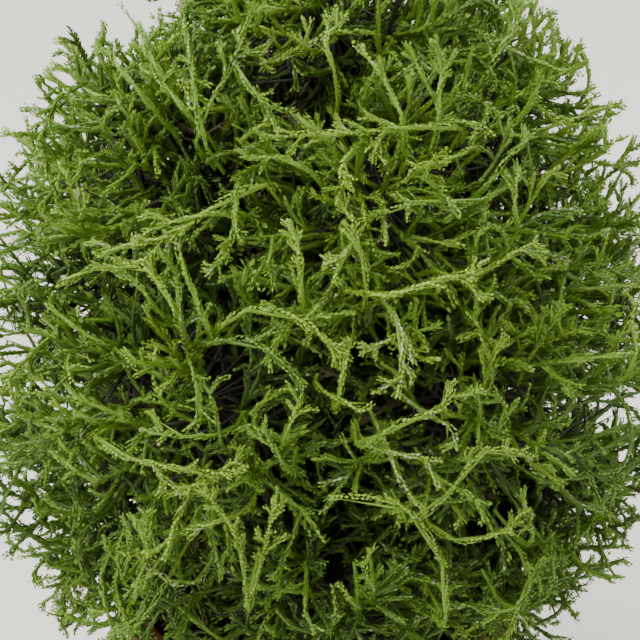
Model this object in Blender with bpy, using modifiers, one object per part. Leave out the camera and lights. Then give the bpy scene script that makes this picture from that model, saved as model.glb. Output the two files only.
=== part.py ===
"""Potted dwarf Lawson cypress: a clay pot of soil, a short trunk, its boughs, and the clumps of cord-like
foliage that they carry. Units are metres, +Z is up, and the origin is the middle of the pot's flat underside.

The crown is a rounded egg. Clump centres share it out between them, and a clump keeps to the space nearer to
its own centre than to any other. Tips are spread evenly over the egg, and each is joined to its clump's stem
by one bent twig, which carries side sprays that turn round it by the golden angle.
"""

import math
from random import Random

import bmesh
import bpy
from mathutils import Matrix, Vector

GAP = 0.0003  # between pieces that rest on or meet each other
UP = Vector((0, 0, 1))
GOLDEN_ANGLE = math.pi * (3 - math.sqrt(5))
SEED = 11

# Clay pot
POT_HEIGHT = 0.150
POT_RIM_RADIUS = 0.086
POT_COLLAR_HEIGHT = 0.033
POT_COLLAR_STEP = 0.006
POT_FOOT_RADIUS = 0.058
POT_WALL = 0.0075
POT_FLOOR = 0.009
POT_EDGE = 0.0022
POT_STEPS = 40
DRAIN_HOLES = 3
DRAIN_RADIUS = 0.005
DRAIN_DISTANCE = 0.030

# Soil, up to a little below the rim
SOIL_LEVEL = 0.137
SOIL_FALL = 0.002
SOIL_FLAT_RADIUS = 0.040

# Trunk, from its cut foot on the soil to the stem of the top clump
TRUNK_TOP = 0.366
TRUNK_FOOT_RADIUS = 0.0078
TRUNK_TOP_RADIUS = 0.0026
TRUNK_FLARE = 0.0062
TRUNK_FLARE_HEIGHT = 0.008
TRUNK_LEAN = Vector((0.007, -0.004, 0))
TRUNK_SWAY = 0.0032
TRUNK_RINGS = 14

# Boughs
BOUGH_BASE_RADIUS = 0.0040
BOUGH_TIP_RADIUS = 0.0020
BOUGH_RINGS = 6
BOUGH_TIP_TO_CENTRE = 0.020

# Crown
CROWN_FOOT = 0.147
CROWN_TOP = 0.440
CROWN_RADIUS = 0.134
CROWN_WIDEST = 0.36
CROWN_FOOT_SHARE = 0.72
CROWN_DROOP = 0.016
CROWN_SLICES = 120

# Tiers of clumps: how many, share of the crown's height, share of its radius there, first bearing,
# and how far below its clumps the lowest bough leaves the trunk, each next one a little higher
TIERS = (
    ("low", 5, 0.18, 0.62, math.radians(-90), 0.044),
    ("middle", 5, 0.44, 0.60, math.radians(-54), 0.072),
    ("high", 4, 0.70, 0.48, math.radians(-70), 0.054),
)
BOUGH_STAGGER = 0.007
TOP_SHARE = 0.845

# Foliage
TIP_COUNT = 172
TIP_JITTER = 0.004
CLEFT_DEPTH = 0.010
CLEFT_WIDTH = 0.026
CORE_INSET = 0.027
CORE_FOOT_SHARE = 0.04
CORE_BUMPS = 0.10
CORE_STEP = 0.001
STEM_RADIUS = 0.0018
TWIG_ROOT = 0.15
TWIG_RADIUS = 0.0028
TWIG_SWAY = 0.006
TWIG_RINGS = 4
SPRAYS = ((0.034, 0.026), (0.023, 0.023), (0.012, 0.017))  # distance of its root from the tip, and length
SPRAY_ANGLE = math.radians(52)
SPRAY_RADIUS = 0.0040
SPRAY_BELLY = 0.50
SPACE_MARGIN = 0.0006
CORE_MARGIN = 0.0020
LIMB_MARGIN = 0.0010

CLAY = ("clay", (0.50, 0.20, 0.10), 0.85)
SOIL = ("soil", (0.045, 0.030, 0.020), 0.95)
BARK = ("bark", (0.16, 0.09, 0.055), 0.90)
FOLIAGE = ("foliage", (0.10, 0.17, 0.025), 0.60)


def clear_scene():
    for old in list(bpy.data.objects):
        bpy.data.objects.remove(old)


def collection_named(name):
    made = bpy.data.collections.new(name)
    bpy.context.scene.collection.children.link(made)
    return made


def material_of(finish):
    """The Principled material of a finish, made once and then shared."""
    name, colour, roughness = finish
    if name in bpy.data.materials:
        return bpy.data.materials[name]
    made = bpy.data.materials.new(name)
    made.use_nodes = True
    shader = made.node_tree.nodes["Principled BSDF"]
    shader.inputs["Base Color"].default_value = (*colour, 1)
    shader.inputs["Roughness"].default_value = roughness
    shader.inputs["Metallic"].default_value = 0
    made.diffuse_color = (*colour, 1)
    return made


def object_of(name, data, collection, finish=None):
    made = bpy.data.objects.new(name, data)
    if finish:
        data.materials.append(material_of(finish))
    collection.objects.link(made)
    return made


def mesh_of(name, source, collection, finish=None):
    """A mesh object with the source's evaluated shape, its caps welded. The source is removed."""
    bpy.context.view_layer.update()
    evaluated = source.evaluated_get(bpy.context.evaluated_depsgraph_get())
    mesh = bpy.data.meshes.new_from_object(evaluated)
    mesh.materials.clear()
    shape = bmesh.new()
    shape.from_mesh(mesh)
    bmesh.ops.remove_doubles(shape, verts=shape.verts, dist=1e-6)
    shape.to_mesh(mesh)
    shape.free()
    matrix = source.matrix_world.copy()
    bpy.data.objects.remove(source)
    made = object_of(name, mesh, collection, finish)
    made.matrix_world = matrix
    return made


def turned(name, profile, collection, finish):
    """A body of revolution about +Z, from (radius, height) points that run down its outer side."""
    mesh = bpy.data.meshes.new(name)
    edges = [(i, i + 1) for i in range(len(profile) - 1)]
    mesh.from_pydata([(radius, 0, height) for radius, height in profile], edges, [])
    body = object_of(name, mesh, collection)
    screw = body.modifiers.new("turn", "SCREW")
    screw.steps = screw.render_steps = POT_STEPS
    screw.use_merge_vertices = True
    screw.merge_threshold = 1e-5
    body = mesh_of(name, body, collection, finish)
    body.data.shade_smooth()
    body.data.set_sharp_from_angle(angle=math.radians(35))
    return body


def tube(name, points, radii, collection, sides=8, finish=None):
    """A tapered tube with flat caps along the points."""
    curve = bpy.data.curves.new(name, "CURVE")
    curve.dimensions = "3D"
    curve.use_fill_caps = True
    spline = curve.splines.new("POLY")
    spline.points.add(len(points) - 1)
    for spot, place, radius in zip(spline.points, points, radii, strict=True):
        spot.co = (*place, 1)
        spot.radius = radius
    section = None
    if sides == 3:
        section = object_of("section", three_sided_section(), collection)
        curve.bevel_mode = "OBJECT"
        curve.bevel_object = section
    else:
        curve.bevel_depth = 1
        curve.bevel_resolution = sides // 2 - 2
    made = mesh_of(name, object_of(name, curve, collection), collection, finish)
    if section:
        bpy.data.objects.remove(section)
    return made


def three_sided_section():
    """A triangle of radius one, which a tube takes as its cross-section."""
    section = bpy.data.curves.new("section", "CURVE")
    spline = section.splines.new("POLY")
    spline.points.add(2)
    for corner, spot in enumerate(spline.points):
        angle = -corner * math.tau / 3
        spot.co = (math.cos(angle), math.sin(angle), 0, 1)
    spline.use_cyclic_u = True
    return section


def fuse(name, base, others, operation, collection, finish):
    """The base with every object of the collection others joined to it or cut from it. The others are removed."""
    boolean = base.modifiers.new(operation.lower(), "BOOLEAN")
    boolean.operation = operation
    boolean.operand_type = "COLLECTION"
    boolean.collection = others
    made = mesh_of(name, base, collection, finish)
    for other in list(others.objects):
        bpy.data.objects.remove(other)
    return made


def keep_largest_body(piece):
    """Drops loose scraps and the walls of sealed hollows, which are the smaller bodies of the mesh."""
    shape = bmesh.new()
    shape.from_mesh(piece.data)
    left = set(shape.verts)
    bodies = []
    while left:
        edge = [left.pop()]
        body = set(edge)
        while edge:
            spot = edge.pop()
            for link in spot.link_edges:
                other = link.other_vert(spot)
                if other not in body:
                    body.add(other)
                    edge.append(other)
        left -= body
        bodies.append(body)
    largest = max(bodies, key=len)
    bmesh.ops.delete(shape, geom=[spot for spot in shape.verts if spot not in largest], context="VERTS")
    shape.to_mesh(piece.data)
    shape.free()


# The crown's rule


def crown_radius(share):
    """The crown's radius at a share of its height: widest low down, and rounded over the top."""
    if share < CROWN_WIDEST:
        below = 1 - share / CROWN_WIDEST
        return CROWN_RADIUS * (1 - (1 - CROWN_FOOT_SHARE) * below**2)
    above = (share - CROWN_WIDEST) / (1 - CROWN_WIDEST)
    return CROWN_RADIUS * (1 - above**1.9) ** 0.62


def height_at(share):
    return CROWN_FOOT + share * (CROWN_TOP - CROWN_FOOT)


def polar(radius, bearing, height):
    return Vector((radius * math.cos(bearing), radius * math.sin(bearing), height))


def crown_shares(count):
    """Shares of the crown's height that part its surface into count equal areas, from the foot up."""
    step = 1 / CROWN_SLICES
    areas = []
    for slice_index in range(CROWN_SLICES):
        low, high = crown_radius(slice_index * step), crown_radius((slice_index + 1) * step)
        slope = math.hypot(high - low, step * (CROWN_TOP - CROWN_FOOT))
        areas.append((low + high) / 2 * slope)
    total = sum(areas)
    shares, passed, slice_index = [], 0, 0
    for index in range(count):
        wanted = (index + 0.5) / count * total
        while passed + areas[slice_index] < wanted:
            passed += areas[slice_index]
            slice_index += 1
        shares.append((slice_index + (wanted - passed) / areas[slice_index]) * step)
    return shares


def clump_centres():
    """(name, centre, height at which its bough leaves the trunk) of each clump; the top one has no bough."""
    clumps = []
    for tier, count, share, reach, bearing, fall in TIERS:
        height = height_at(share)
        for index in range(count):
            centre = polar(reach * crown_radius(share), bearing + index * math.tau / count, height)
            clumps.append((f"{tier}_{index + 1}", centre, height - fall + index * BOUGH_STAGGER))
    clumps.append(("top", trunk_point(1) + UP * (height_at(TOP_SHARE) - TRUNK_TOP), None))
    return clumps


def trunk_point(share):
    """A point of the trunk's centre line, which rises straight from the soil and then leans and sways."""
    sway = TRUNK_SWAY * math.sin(share * math.tau * 0.8) * share
    foot = SOIL_LEVEL + GAP
    return Vector((sway, -0.6 * sway, foot + share * (TRUNK_TOP - foot))) + TRUNK_LEAN * share**2


def trunk_radius(share):
    rise = share * (TRUNK_TOP - SOIL_LEVEL)
    taper = TRUNK_FOOT_RADIUS + (TRUNK_TOP_RADIUS - TRUNK_FOOT_RADIUS) * share
    return taper + TRUNK_FLARE * math.exp(-rise / TRUNK_FLARE_HEIGHT)


def bough_line(centre, leaves_at):
    """The bough's centre line, from inside the trunk out and up to its tip just short of the clump's centre."""
    start = trunk_point((leaves_at - SOIL_LEVEL) / (TRUNK_TOP - SOIL_LEVEL))
    bend = start.lerp(centre, 0.55)
    bend.z = start.z + 0.30 * (centre.z - start.z)
    end = centre - (centre - bend).normalized() * BOUGH_TIP_TO_CENTRE
    line = []
    for ring in range(BOUGH_RINGS):
        share = ring / (BOUGH_RINGS - 1)
        line.append(start.lerp(bend, share).lerp(bend.lerp(end, share), share))
    return line


def tips(clumps):
    """(tip, clump index) for each twig: even over the crown, jittered, and drawn in along the clefts between clumps."""
    rng = Random(SEED)
    found = []
    for index, share in enumerate(crown_shares(TIP_COUNT)):
        bearing = index * GOLDEN_ANGLE
        tip = polar(crown_radius(share), bearing, height_at(share))
        tip += Vector([rng.uniform(-TIP_JITTER, TIP_JITTER) for _ in range(3)])
        tip.z -= CROWN_DROOP * max(0, 1 - share / 0.22)
        order = sorted(range(len(clumps)), key=lambda i: (tip - clumps[i][1]).length)
        nearest, second = (clumps[i][1] for i in order[:2])
        closeness = (tip - second).length - (tip - nearest).length
        cleft = max(0, 1 - closeness / CLEFT_WIDTH)
        tip += (nearest - tip).normalized() * CLEFT_DEPTH * cleft**2
        found.append((tip, order[0]))
    return found


def outward(point):
    """The way out of the crown at the point: away from the trunk, and more upwards the higher it is."""
    middle = height_at(CROWN_WIDEST)
    return Vector((point.x, point.y, 0.55 * (point.z - middle))).normalized()


def square_to(direction):
    """A unit vector at right angles to the direction."""
    return direction.orthogonal().normalized()


def twig_line(centre, tip, rng):
    """The twig's centre line from inside the clump to its tip, bent so that it ends pointing out of the crown."""
    root = centre.lerp(tip, TWIG_ROOT)
    run = (tip - root).normalized()
    side = Matrix.Rotation(rng.uniform(0, math.tau), 3, run) @ square_to(run)
    bend = root.lerp(tip, 0.5) - outward(tip) * 0.25 * (tip - root).length + side * TWIG_SWAY
    line = []
    for ring in range(TWIG_RINGS):
        share = ring / (TWIG_RINGS - 1)
        line.append(root.lerp(bend, share).lerp(bend.lerp(tip, share), share))
    return line


def along(line, share):
    """(point, direction) at a share of a line of evenly spaced points."""
    place = share * (len(line) - 1)
    index = min(int(place), len(line) - 2)
    return line[index].lerp(line[index + 1], place - index), (line[index + 1] - line[index]).normalized()


def distance_to_line(point, line):
    best = math.inf
    for start, end in zip(line, line[1:]):
        run = end - start
        share = min(1, max(0, (point - start).dot(run) / run.length_squared))
        best = min(best, (point - start - run * share).length)
    return best


class Space:
    """What a clump may fill: nearer to its own centre than to any other, clear of the limbs and of the pot."""

    def __init__(self, index, clumps, limbs):
        self.centre = clumps[index][1]
        self.others = [centre for i, (_, centre, _) in enumerate(clumps) if i != index]
        trunk_line = [trunk_point(ring / TRUNK_RINGS) for ring in range(TRUNK_RINGS + 1)]
        self.limbs = [(trunk_line, TRUNK_FOOT_RADIUS), *((line, radii[0]) for line, radii in limbs)]

    def border(self, point):
        """The distance from the point to the nearest border with another clump."""
        return min(((self.centre + o) / 2 - point).dot((o - self.centre).normalized()) for o in self.others)

    def limb(self, point):
        """The distance from the point to the nearest limb's surface."""
        return min(distance_to_line(point, line) - radius for line, radius in self.limbs)

    def in_crown(self, point):
        """Whether the point is within the clump's borders and in the smaller egg that the cores fill."""
        share = (point.z - CROWN_FOOT) / (CROWN_TOP - CORE_INSET - CROWN_FOOT)
        if not CORE_FOOT_SHARE < share < 1 or self.border(point) < CORE_MARGIN:
            return False
        return math.hypot(point.x, point.y) < crown_radius(share) * (1 - CORE_INSET / CROWN_RADIUS)

    def clear_of_pot(self, point):
        """Whether the point is above the rim, or out beside the collar and not far down it."""
        away = math.hypot(point.x, point.y) - POT_RIM_RADIUS
        return point.z > POT_HEIGHT + 0.002 if away < 0.003 else point.z > POT_HEIGHT - 0.022

    def holds(self, points, thickness):
        return all(
            self.border(p) > SPACE_MARGIN + thickness
            and self.limb(p) > LIMB_MARGIN + thickness
            and self.clear_of_pot(p - UP * thickness)
            for p in points
        )


# The pieces


def make_pot(collection):
    """Flowerpot: a tapered body with a thicker collar, open at the top, with drain holes in its floor."""
    collar_foot = POT_HEIGHT - POT_COLLAR_HEIGHT
    body_top = POT_RIM_RADIUS - POT_COLLAR_STEP
    profile = [
        (0, POT_FLOOR),
        (pot_inner_radius(POT_FLOOR) - POT_EDGE, POT_FLOOR),
        (pot_inner_radius(POT_FLOOR + POT_EDGE), POT_FLOOR + POT_EDGE),
        (pot_inner_radius(POT_HEIGHT - POT_EDGE), POT_HEIGHT - POT_EDGE),
        (pot_inner_radius(POT_HEIGHT) + POT_EDGE, POT_HEIGHT),
        (POT_RIM_RADIUS - POT_EDGE, POT_HEIGHT),
        (POT_RIM_RADIUS, POT_HEIGHT - POT_EDGE),
        (POT_RIM_RADIUS - 0.4 * POT_EDGE, collar_foot + POT_EDGE),
        (POT_RIM_RADIUS - 1.2 * POT_EDGE, collar_foot),
        (body_top, collar_foot - POT_EDGE / 2),
        (POT_FOOT_RADIUS, POT_EDGE),
        (POT_FOOT_RADIUS - POT_EDGE, 0),
        (0, 0),
    ]
    pot = turned("pot_blank", profile, collection, CLAY)
    cutters = collection_named("drain_cutters")
    for hole in range(DRAIN_HOLES):
        shape = bmesh.new()
        bmesh.ops.create_cone(
            shape, cap_ends=True, segments=12, radius1=DRAIN_RADIUS, radius2=DRAIN_RADIUS, depth=4 * POT_FLOOR
        )
        mesh = bpy.data.meshes.new("drain")
        shape.to_mesh(mesh)
        shape.free()
        cutter = object_of(f"drain_{hole + 1}", mesh, cutters)
        cutter.location = polar(DRAIN_DISTANCE, hole * math.tau / DRAIN_HOLES + math.pi / 6, 0)
    fuse("pot", pot, cutters, "DIFFERENCE", collection, CLAY)


def pot_inner_radius(height):
    """The radius of the pot's inner wall, which runs parallel to the outer one."""
    body_top = POT_RIM_RADIUS - POT_COLLAR_STEP
    slope = (body_top - POT_FOOT_RADIUS) / (POT_HEIGHT - POT_COLLAR_HEIGHT)
    return POT_FOOT_RADIUS - POT_WALL + slope * height


def make_soil(collection):
    """The pot's fill, which stands a gap clear of the clay: flat round the trunk, and sunk a little at the wall."""
    foot, edge = POT_FLOOR + GAP, SOIL_LEVEL - SOIL_FALL
    profile = [
        (0, SOIL_LEVEL),
        (SOIL_FLAT_RADIUS, SOIL_LEVEL),
        (pot_inner_radius(edge) - 2 * GAP, edge),
        (pot_inner_radius(foot + POT_EDGE) - 2 * GAP, foot + POT_EDGE),
        (pot_inner_radius(foot) - POT_EDGE - 2 * GAP, foot),
        (0, foot),
    ]
    turned("soil", profile, collection, SOIL)


def trunk_tube(name, collection, more=0.0, finish=None):
    shares = [(ring / (TRUNK_RINGS - 1)) ** 1.5 for ring in range(TRUNK_RINGS)]
    points = [trunk_point(share) for share in shares]
    points[1].x, points[1].y = points[0].x, points[0].y
    radii = [trunk_radius(share) + more for share in shares]
    return tube(name, points, radii, collection, sides=12, finish=finish)


def make_boughs(clumps, collection):
    """Each bough starts inside the trunk and is cut to meet its bark a gap clear. Returns the limbs' lines and radii."""
    limbs = []
    for name, centre, leaves_at in clumps:
        if leaves_at is None:
            continue
        line = bough_line(centre, leaves_at)
        stout = (line[-1] - line[0]).length / 0.087
        base = BOUGH_BASE_RADIUS * min(1, 0.45 + 0.55 * stout)
        radii = [base + (BOUGH_TIP_RADIUS - base) * ring / (BOUGH_RINGS - 1) for ring in range(BOUGH_RINGS)]
        blank = tube("bough_blank", line, radii, collection)
        cutters = collection_named(f"{name}_cutter")
        trunk_tube("trunk_cutter", cutters, more=GAP)
        bough = fuse(f"bough_{name}", blank, cutters, "DIFFERENCE", collection, BARK)
        keep_largest_body(bough)
        limbs.append((line, radii))
    return limbs


def make_core(space, limbs, rng, collection):
    """The dense heart of a clump, swollen till it nears the border or the crown's depth, and cut clear of limbs."""
    shape = bmesh.new()
    bmesh.ops.create_icosphere(shape, subdivisions=2, radius=1)
    for spot in shape.verts:
        ray = spot.co.normalized()
        reach = CORE_STEP
        while space.in_crown(space.centre + ray * (reach + CORE_STEP)):
            reach += CORE_STEP
        spot.co = space.centre + ray * reach * rng.uniform(1 - CORE_BUMPS, 1)
    mesh = bpy.data.meshes.new("core")
    shape.to_mesh(mesh)
    shape.free()
    core = object_of("core_blank", mesh, collection)
    cutters = collection_named("limb_cutters")
    trunk_tube("trunk_cutter", cutters, more=LIMB_MARGIN)
    for line, radii in limbs:
        run = (line[-1] - line[-2]).normalized()
        widened = [radius + LIMB_MARGIN for radius in radii]
        tube("bough_cutter", [*line[:-1], line[-1] + run * LIMB_MARGIN], widened, cutters)
    return fuse("core", core, cutters, "DIFFERENCE", collection, FOLIAGE)


def make_spray(start, direction, length, collection):
    """A side spray: a six-faced spindle, fullest nearer its root, which is sunk in the twig."""
    shape = bmesh.new()
    bmesh.ops.create_uvsphere(shape, u_segments=3, v_segments=2, radius=1)
    side = square_to(direction)
    frame = Matrix((side, direction.cross(side), direction)).transposed()
    for spot in shape.verts:
        height = SPRAY_BELLY if abs(spot.co.z) < 0.5 else (1 + spot.co.z) / 2
        place = Vector((spot.co.x * SPRAY_RADIUS, spot.co.y * SPRAY_RADIUS, height * length))
        spot.co = start + frame @ place
    mesh = bpy.data.meshes.new("spray")
    shape.to_mesh(mesh)
    shape.free()
    return object_of("spray", mesh, collection)


def grow_twig(space, tip, rng, pieces):
    """One twig with its side sprays, each left out where it would leave the clump's space. Returns how many grew."""
    line = twig_line(space.centre, tip, rng)
    turn = rng.uniform(0, math.tau)
    if not space.holds(line[1:], TWIG_RADIUS):
        return 0
    radii = [TWIG_RADIUS * size for size in (0.8, 1, 0.9, 0.25)]
    tube("twig", line, radii, pieces, sides=3)
    grown = 1
    for order, (from_tip, length) in enumerate(SPRAYS):
        start, direction = along(line, 1 - from_tip / (line[-1] - line[0]).length)
        side = Matrix.Rotation(turn + order * GOLDEN_ANGLE, 3, direction) @ square_to(direction)
        way = (direction * math.cos(SPRAY_ANGLE) + side * math.sin(SPRAY_ANGLE)).normalized()
        length *= rng.uniform(0.85, 1.15)
        ends = [start + way * length * part for part in (SPRAY_BELLY, 1)]
        if space.holds(ends, SPRAY_RADIUS * 0.8):
            make_spray(start, way, length, pieces)
            grown += 1
    return grown


def make_clump(index, clumps, limbs, twig_tips, collection):
    """One mass of foliage: its stem, core, twigs and sprays joined into one solid."""
    name, centre, leaves_at = clumps[index]
    rng = Random(SEED + 100 + index)
    space = Space(index, clumps, limbs)
    pieces = collection_named(f"{name}_pieces")
    carrier = limbs[index][0][-2:] if leaves_at is not None else [trunk_point(0.98), trunk_point(1)]
    way = (carrier[1] - carrier[0]).normalized()
    stem = [carrier[1] + way * GAP, carrier[1] + way * 0.5 * BOUGH_TIP_TO_CENTRE, centre]
    tube("stem", stem, [STEM_RADIUS, STEM_RADIUS, STEM_RADIUS * 0.8], pieces)
    core = make_core(space, limbs, rng, collection)
    grown = sum(grow_twig(space, tip, rng, pieces) for tip, owner in twig_tips if owner == index)
    clump = fuse(f"foliage_{name}", core, pieces, "UNION", collection, FOLIAGE)
    keep_largest_body(clump)
    return grown


def main():
    clear_scene()
    plant = collection_named("potted_cypress")
    make_pot(plant)
    make_soil(plant)
    trunk_tube("trunk", plant, finish=BARK)
    clumps = clump_centres()
    limbs = make_boughs(clumps, plant)
    twig_tips = tips(clumps)
    grown = sum(make_clump(i, clumps, limbs, twig_tips, plant) for i in range(len(clumps)))
    print(f"{grown} twigs and sprays")


main()
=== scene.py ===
import math
from random import Random

import bpy
import numpy as np
from mathutils import Matrix, Vector


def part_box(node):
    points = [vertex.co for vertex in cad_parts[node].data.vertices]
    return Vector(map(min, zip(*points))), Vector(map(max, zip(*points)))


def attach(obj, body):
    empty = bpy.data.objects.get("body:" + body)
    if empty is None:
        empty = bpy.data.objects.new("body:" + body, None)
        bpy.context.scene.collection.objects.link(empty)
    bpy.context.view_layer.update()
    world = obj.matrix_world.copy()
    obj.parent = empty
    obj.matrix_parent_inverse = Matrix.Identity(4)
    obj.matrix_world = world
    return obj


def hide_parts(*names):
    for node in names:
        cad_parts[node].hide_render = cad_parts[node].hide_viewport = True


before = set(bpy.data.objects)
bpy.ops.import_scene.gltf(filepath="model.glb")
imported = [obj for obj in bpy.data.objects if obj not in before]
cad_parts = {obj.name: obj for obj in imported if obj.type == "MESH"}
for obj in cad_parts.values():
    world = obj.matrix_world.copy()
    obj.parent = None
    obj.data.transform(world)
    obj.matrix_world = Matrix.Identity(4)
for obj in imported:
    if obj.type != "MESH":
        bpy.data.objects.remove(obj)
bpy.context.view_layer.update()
bpy.ops.object.select_all(action="DESELECT")

# The flowerpot: unglazed red clay, thrown on a wheel with a thicker collar, and fired. It stands on its flat
# foot, is open at the top, and has three drain holes in its floor.

POT_RIM, _, POT_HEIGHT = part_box("pot")[1]
POT_FOOT = 0.058
POT_COLLAR = 0.033
POT_COLLAR_STEP = 0.006
POT_WALL = 0.0075
POT_FLOOR = 0.009
POT_SIDES = 112
WALL_START = 0.004
WALL_RINGS = 31
WALL_RING_GAP = 0.0036
INNER_RINGS = 15
LIP_ROUNDING = 0.0024
FLOOR_ROUNDING = 0.0022
# The profile's small edges, as points (outwards, up) from the foot, from below the rim at the collar's foot,
# from the rim, and from the inner edge of the lip.
FOOT_EDGE = ((-0.0022, 0), (-0.0007, 0.0006), (0, 0.0022))
COLLAR_LEDGE = (
    (-POT_COLLAR_STEP, -0.0014), (-0.0051, -0.0006), (-0.0020, -0.0002),
    (-0.0011, 0.0004), (-0.0008, 0.0016), (-0.0004, 0.016),
)
LIP_OUTSIDE = ((0, -LIP_ROUNDING), (-0.0008, -0.0007), (-0.0026, 0))
LIP_INSIDE = ((0.0022, 0), (0.0006, -0.0007))
DRAIN_RADIUS = 0.005
DRAIN_DISTANCE = 0.030
DRAIN_HOLES = 3
DRAIN_SIDES = 28
FIRST_DRAIN = math.pi / 6
SHARP_FROM = math.radians(40)
THROWING_RINGS = 11
THROWING_DEPTH = 0.00012
MIX_SHARE, MIX_UNDER, MIX_OVER, MIXED = 0, 6, 7, 2  # the sockets of a Mix node that mixes colours


def linear(hex_colour):
    """An sRGB hex colour as linear RGBA."""
    channels = [int(hex_colour[i : i + 2], 16) / 255 for i in (0, 2, 4)]
    return (*(c / 12.92 if c <= 0.04045 else ((c + 0.055) / 1.055) ** 2.4 for c in channels), 1)


def link(material, source, node, socket):
    """Links an output, or the first output of a node, to a node's socket."""
    output = source.outputs[0] if hasattr(source, "outputs") else source
    material.node_tree.links.new(output, node.inputs[socket])


def add_node(material, kind, links=(), stops=(), **settings):
    """Adds a node. Links are (socket, source) pairs, stops are a colour ramp's (position, hex colour) pairs,
    and settings name the node's properties or input sockets."""
    node = material.node_tree.nodes.new(f"ShaderNode{kind}")
    for name, value in settings.items():
        if hasattr(node, name):
            setattr(node, name, value)
        else:
            node.inputs[name.replace("_", " ").title()].default_value = value
    for socket, source in links:
        link(material, source, node, socket)
    for index, (position, colour) in enumerate(stops):
        ramp = node.color_ramp.elements
        stop = ramp[index] if index < len(ramp) else ramp.new(position)
        stop.position = position
        stop.color = linear(colour)
    return node


def new_material(name, colour, roughness):
    """A material with one Principled shader, whose colour and roughness are set on its own sockets."""
    material = bpy.data.materials.new(name)
    material.use_nodes = True
    shader = material.node_tree.nodes["Principled BSDF"]
    shader.inputs["Base Color"].default_value = linear(colour)
    shader.inputs["Roughness"].default_value = roughness
    return material, shader


def terracotta():
    """Fired red clay: matt and porous. It is uneven in its firing over about 4 cm, flecked with grog of about
    1 mm, dusted pale by salts near the foot, and marked by the level lines of the turning, 0.7 mm apart."""
    material, shader = new_material("terracotta", "b4694a", 0.9)
    here = [("Vector", add_node(material, "TexCoord").outputs["Object"])]
    firing = add_node(material, "TexNoise", here, scale=24.0, detail=4.0, roughness=0.55)
    clays = [(0.34, "a55c3d"), (0.68, "bb7450"), (0.50, "b26847")]
    clay = add_node(material, "ValToRGB", [("Fac", firing)], clays)
    grog = add_node(material, "TexNoise", here, scale=800.0, detail=3.0)
    fleck = add_node(material, "ValToRGB", [("Fac", grog)], [(0.55, "000000"), (0.66, "8c8c8c")])
    flecked = add_node(material, "Mix", [(MIX_SHARE, fleck), (MIX_UNDER, clay)], data_type="RGBA")
    flecked.inputs[MIX_OVER].default_value = linear("8a4a31")
    salts = add_node(material, "TexNoise", here, scale=30.0, detail=9.0, roughness=0.72)
    patches = add_node(material, "ValToRGB", [("Fac", salts)], [(0.46, "000000"), (0.66, "ffffff")])
    height = [("Value", add_node(material, "SeparateXYZ", here).outputs["Z"])]
    near_foot = add_node(
        material, "MapRange", height, from_min=0.10, from_max=0.0, to_min=0.05, to_max=0.17
    )
    dust = add_node(material, "Math", [(0, patches), (1, near_foot)], operation="MULTIPLY")
    layers = [(MIX_SHARE, dust), (MIX_UNDER, flecked.outputs[MIXED])]
    dusted = add_node(material, "Mix", layers, data_type="RGBA")
    dusted.inputs[MIX_OVER].default_value = linear("dcc4b4")
    link(material, dusted.outputs[MIXED], shader, "Base Color")
    level = add_node(material, "Mapping", here, scale=(6, 6, 1400))
    lines = add_node(material, "TexNoise", [("Vector", level)], scale=1.0, detail=3.0)
    turned = add_node(material, "Bump", [("Height", lines)], strength=0.28, distance=0.0003)
    grain = [("Height", grog), ("Normal", turned)]
    grit = add_node(material, "Bump", grain, strength=0.22, distance=0.0003)
    link(material, grit, shader, "Normal")
    return material


def pot_wall_radius(height):
    """The pot's outer radius below the collar, with the faint rings that the thrower's fingers leave."""
    top = POT_RIM - POT_COLLAR_STEP
    straight = POT_FOOT + (top - POT_FOOT) * height / (POT_HEIGHT - POT_COLLAR)
    return straight + THROWING_DEPTH * math.sin(height / POT_HEIGHT * THROWING_RINGS * math.tau)


def pot_rings():
    """(radius, height) of each ring: up the outside from the foot, over the rim and down inside."""
    collar_foot = POT_HEIGHT - POT_COLLAR
    inner_foot = POT_FOOT - POT_WALL
    inner_slope = (POT_RIM - POT_COLLAR_STEP - POT_FOOT) / collar_foot
    inner_lip = inner_foot + inner_slope * POT_HEIGHT
    rings = [(POT_FOOT + out, up) for out, up in FOOT_EDGE]
    wall_heights = [WALL_START + step * WALL_RING_GAP for step in range(WALL_RINGS)]
    rings += [(pot_wall_radius(height), height) for height in wall_heights]
    rings += [(POT_RIM + out, collar_foot + up) for out, up in COLLAR_LEDGE]
    rings += [(POT_RIM + out, POT_HEIGHT + up) for out, up in LIP_OUTSIDE]
    rings += [(inner_lip + out, POT_HEIGHT + up) for out, up in LIP_INSIDE]
    inner_top = POT_HEIGHT - LIP_ROUNDING
    inner_height = inner_top - POT_FLOOR - FLOOR_ROUNDING
    for step in range(INNER_RINGS):
        height = inner_top - step * inner_height / (INNER_RINGS - 1)
        rings.append((inner_foot + inner_slope * height, height))
    rings.append((inner_foot + inner_slope * POT_FLOOR - FLOOR_ROUNDING, POT_FLOOR))
    return rings


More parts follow.
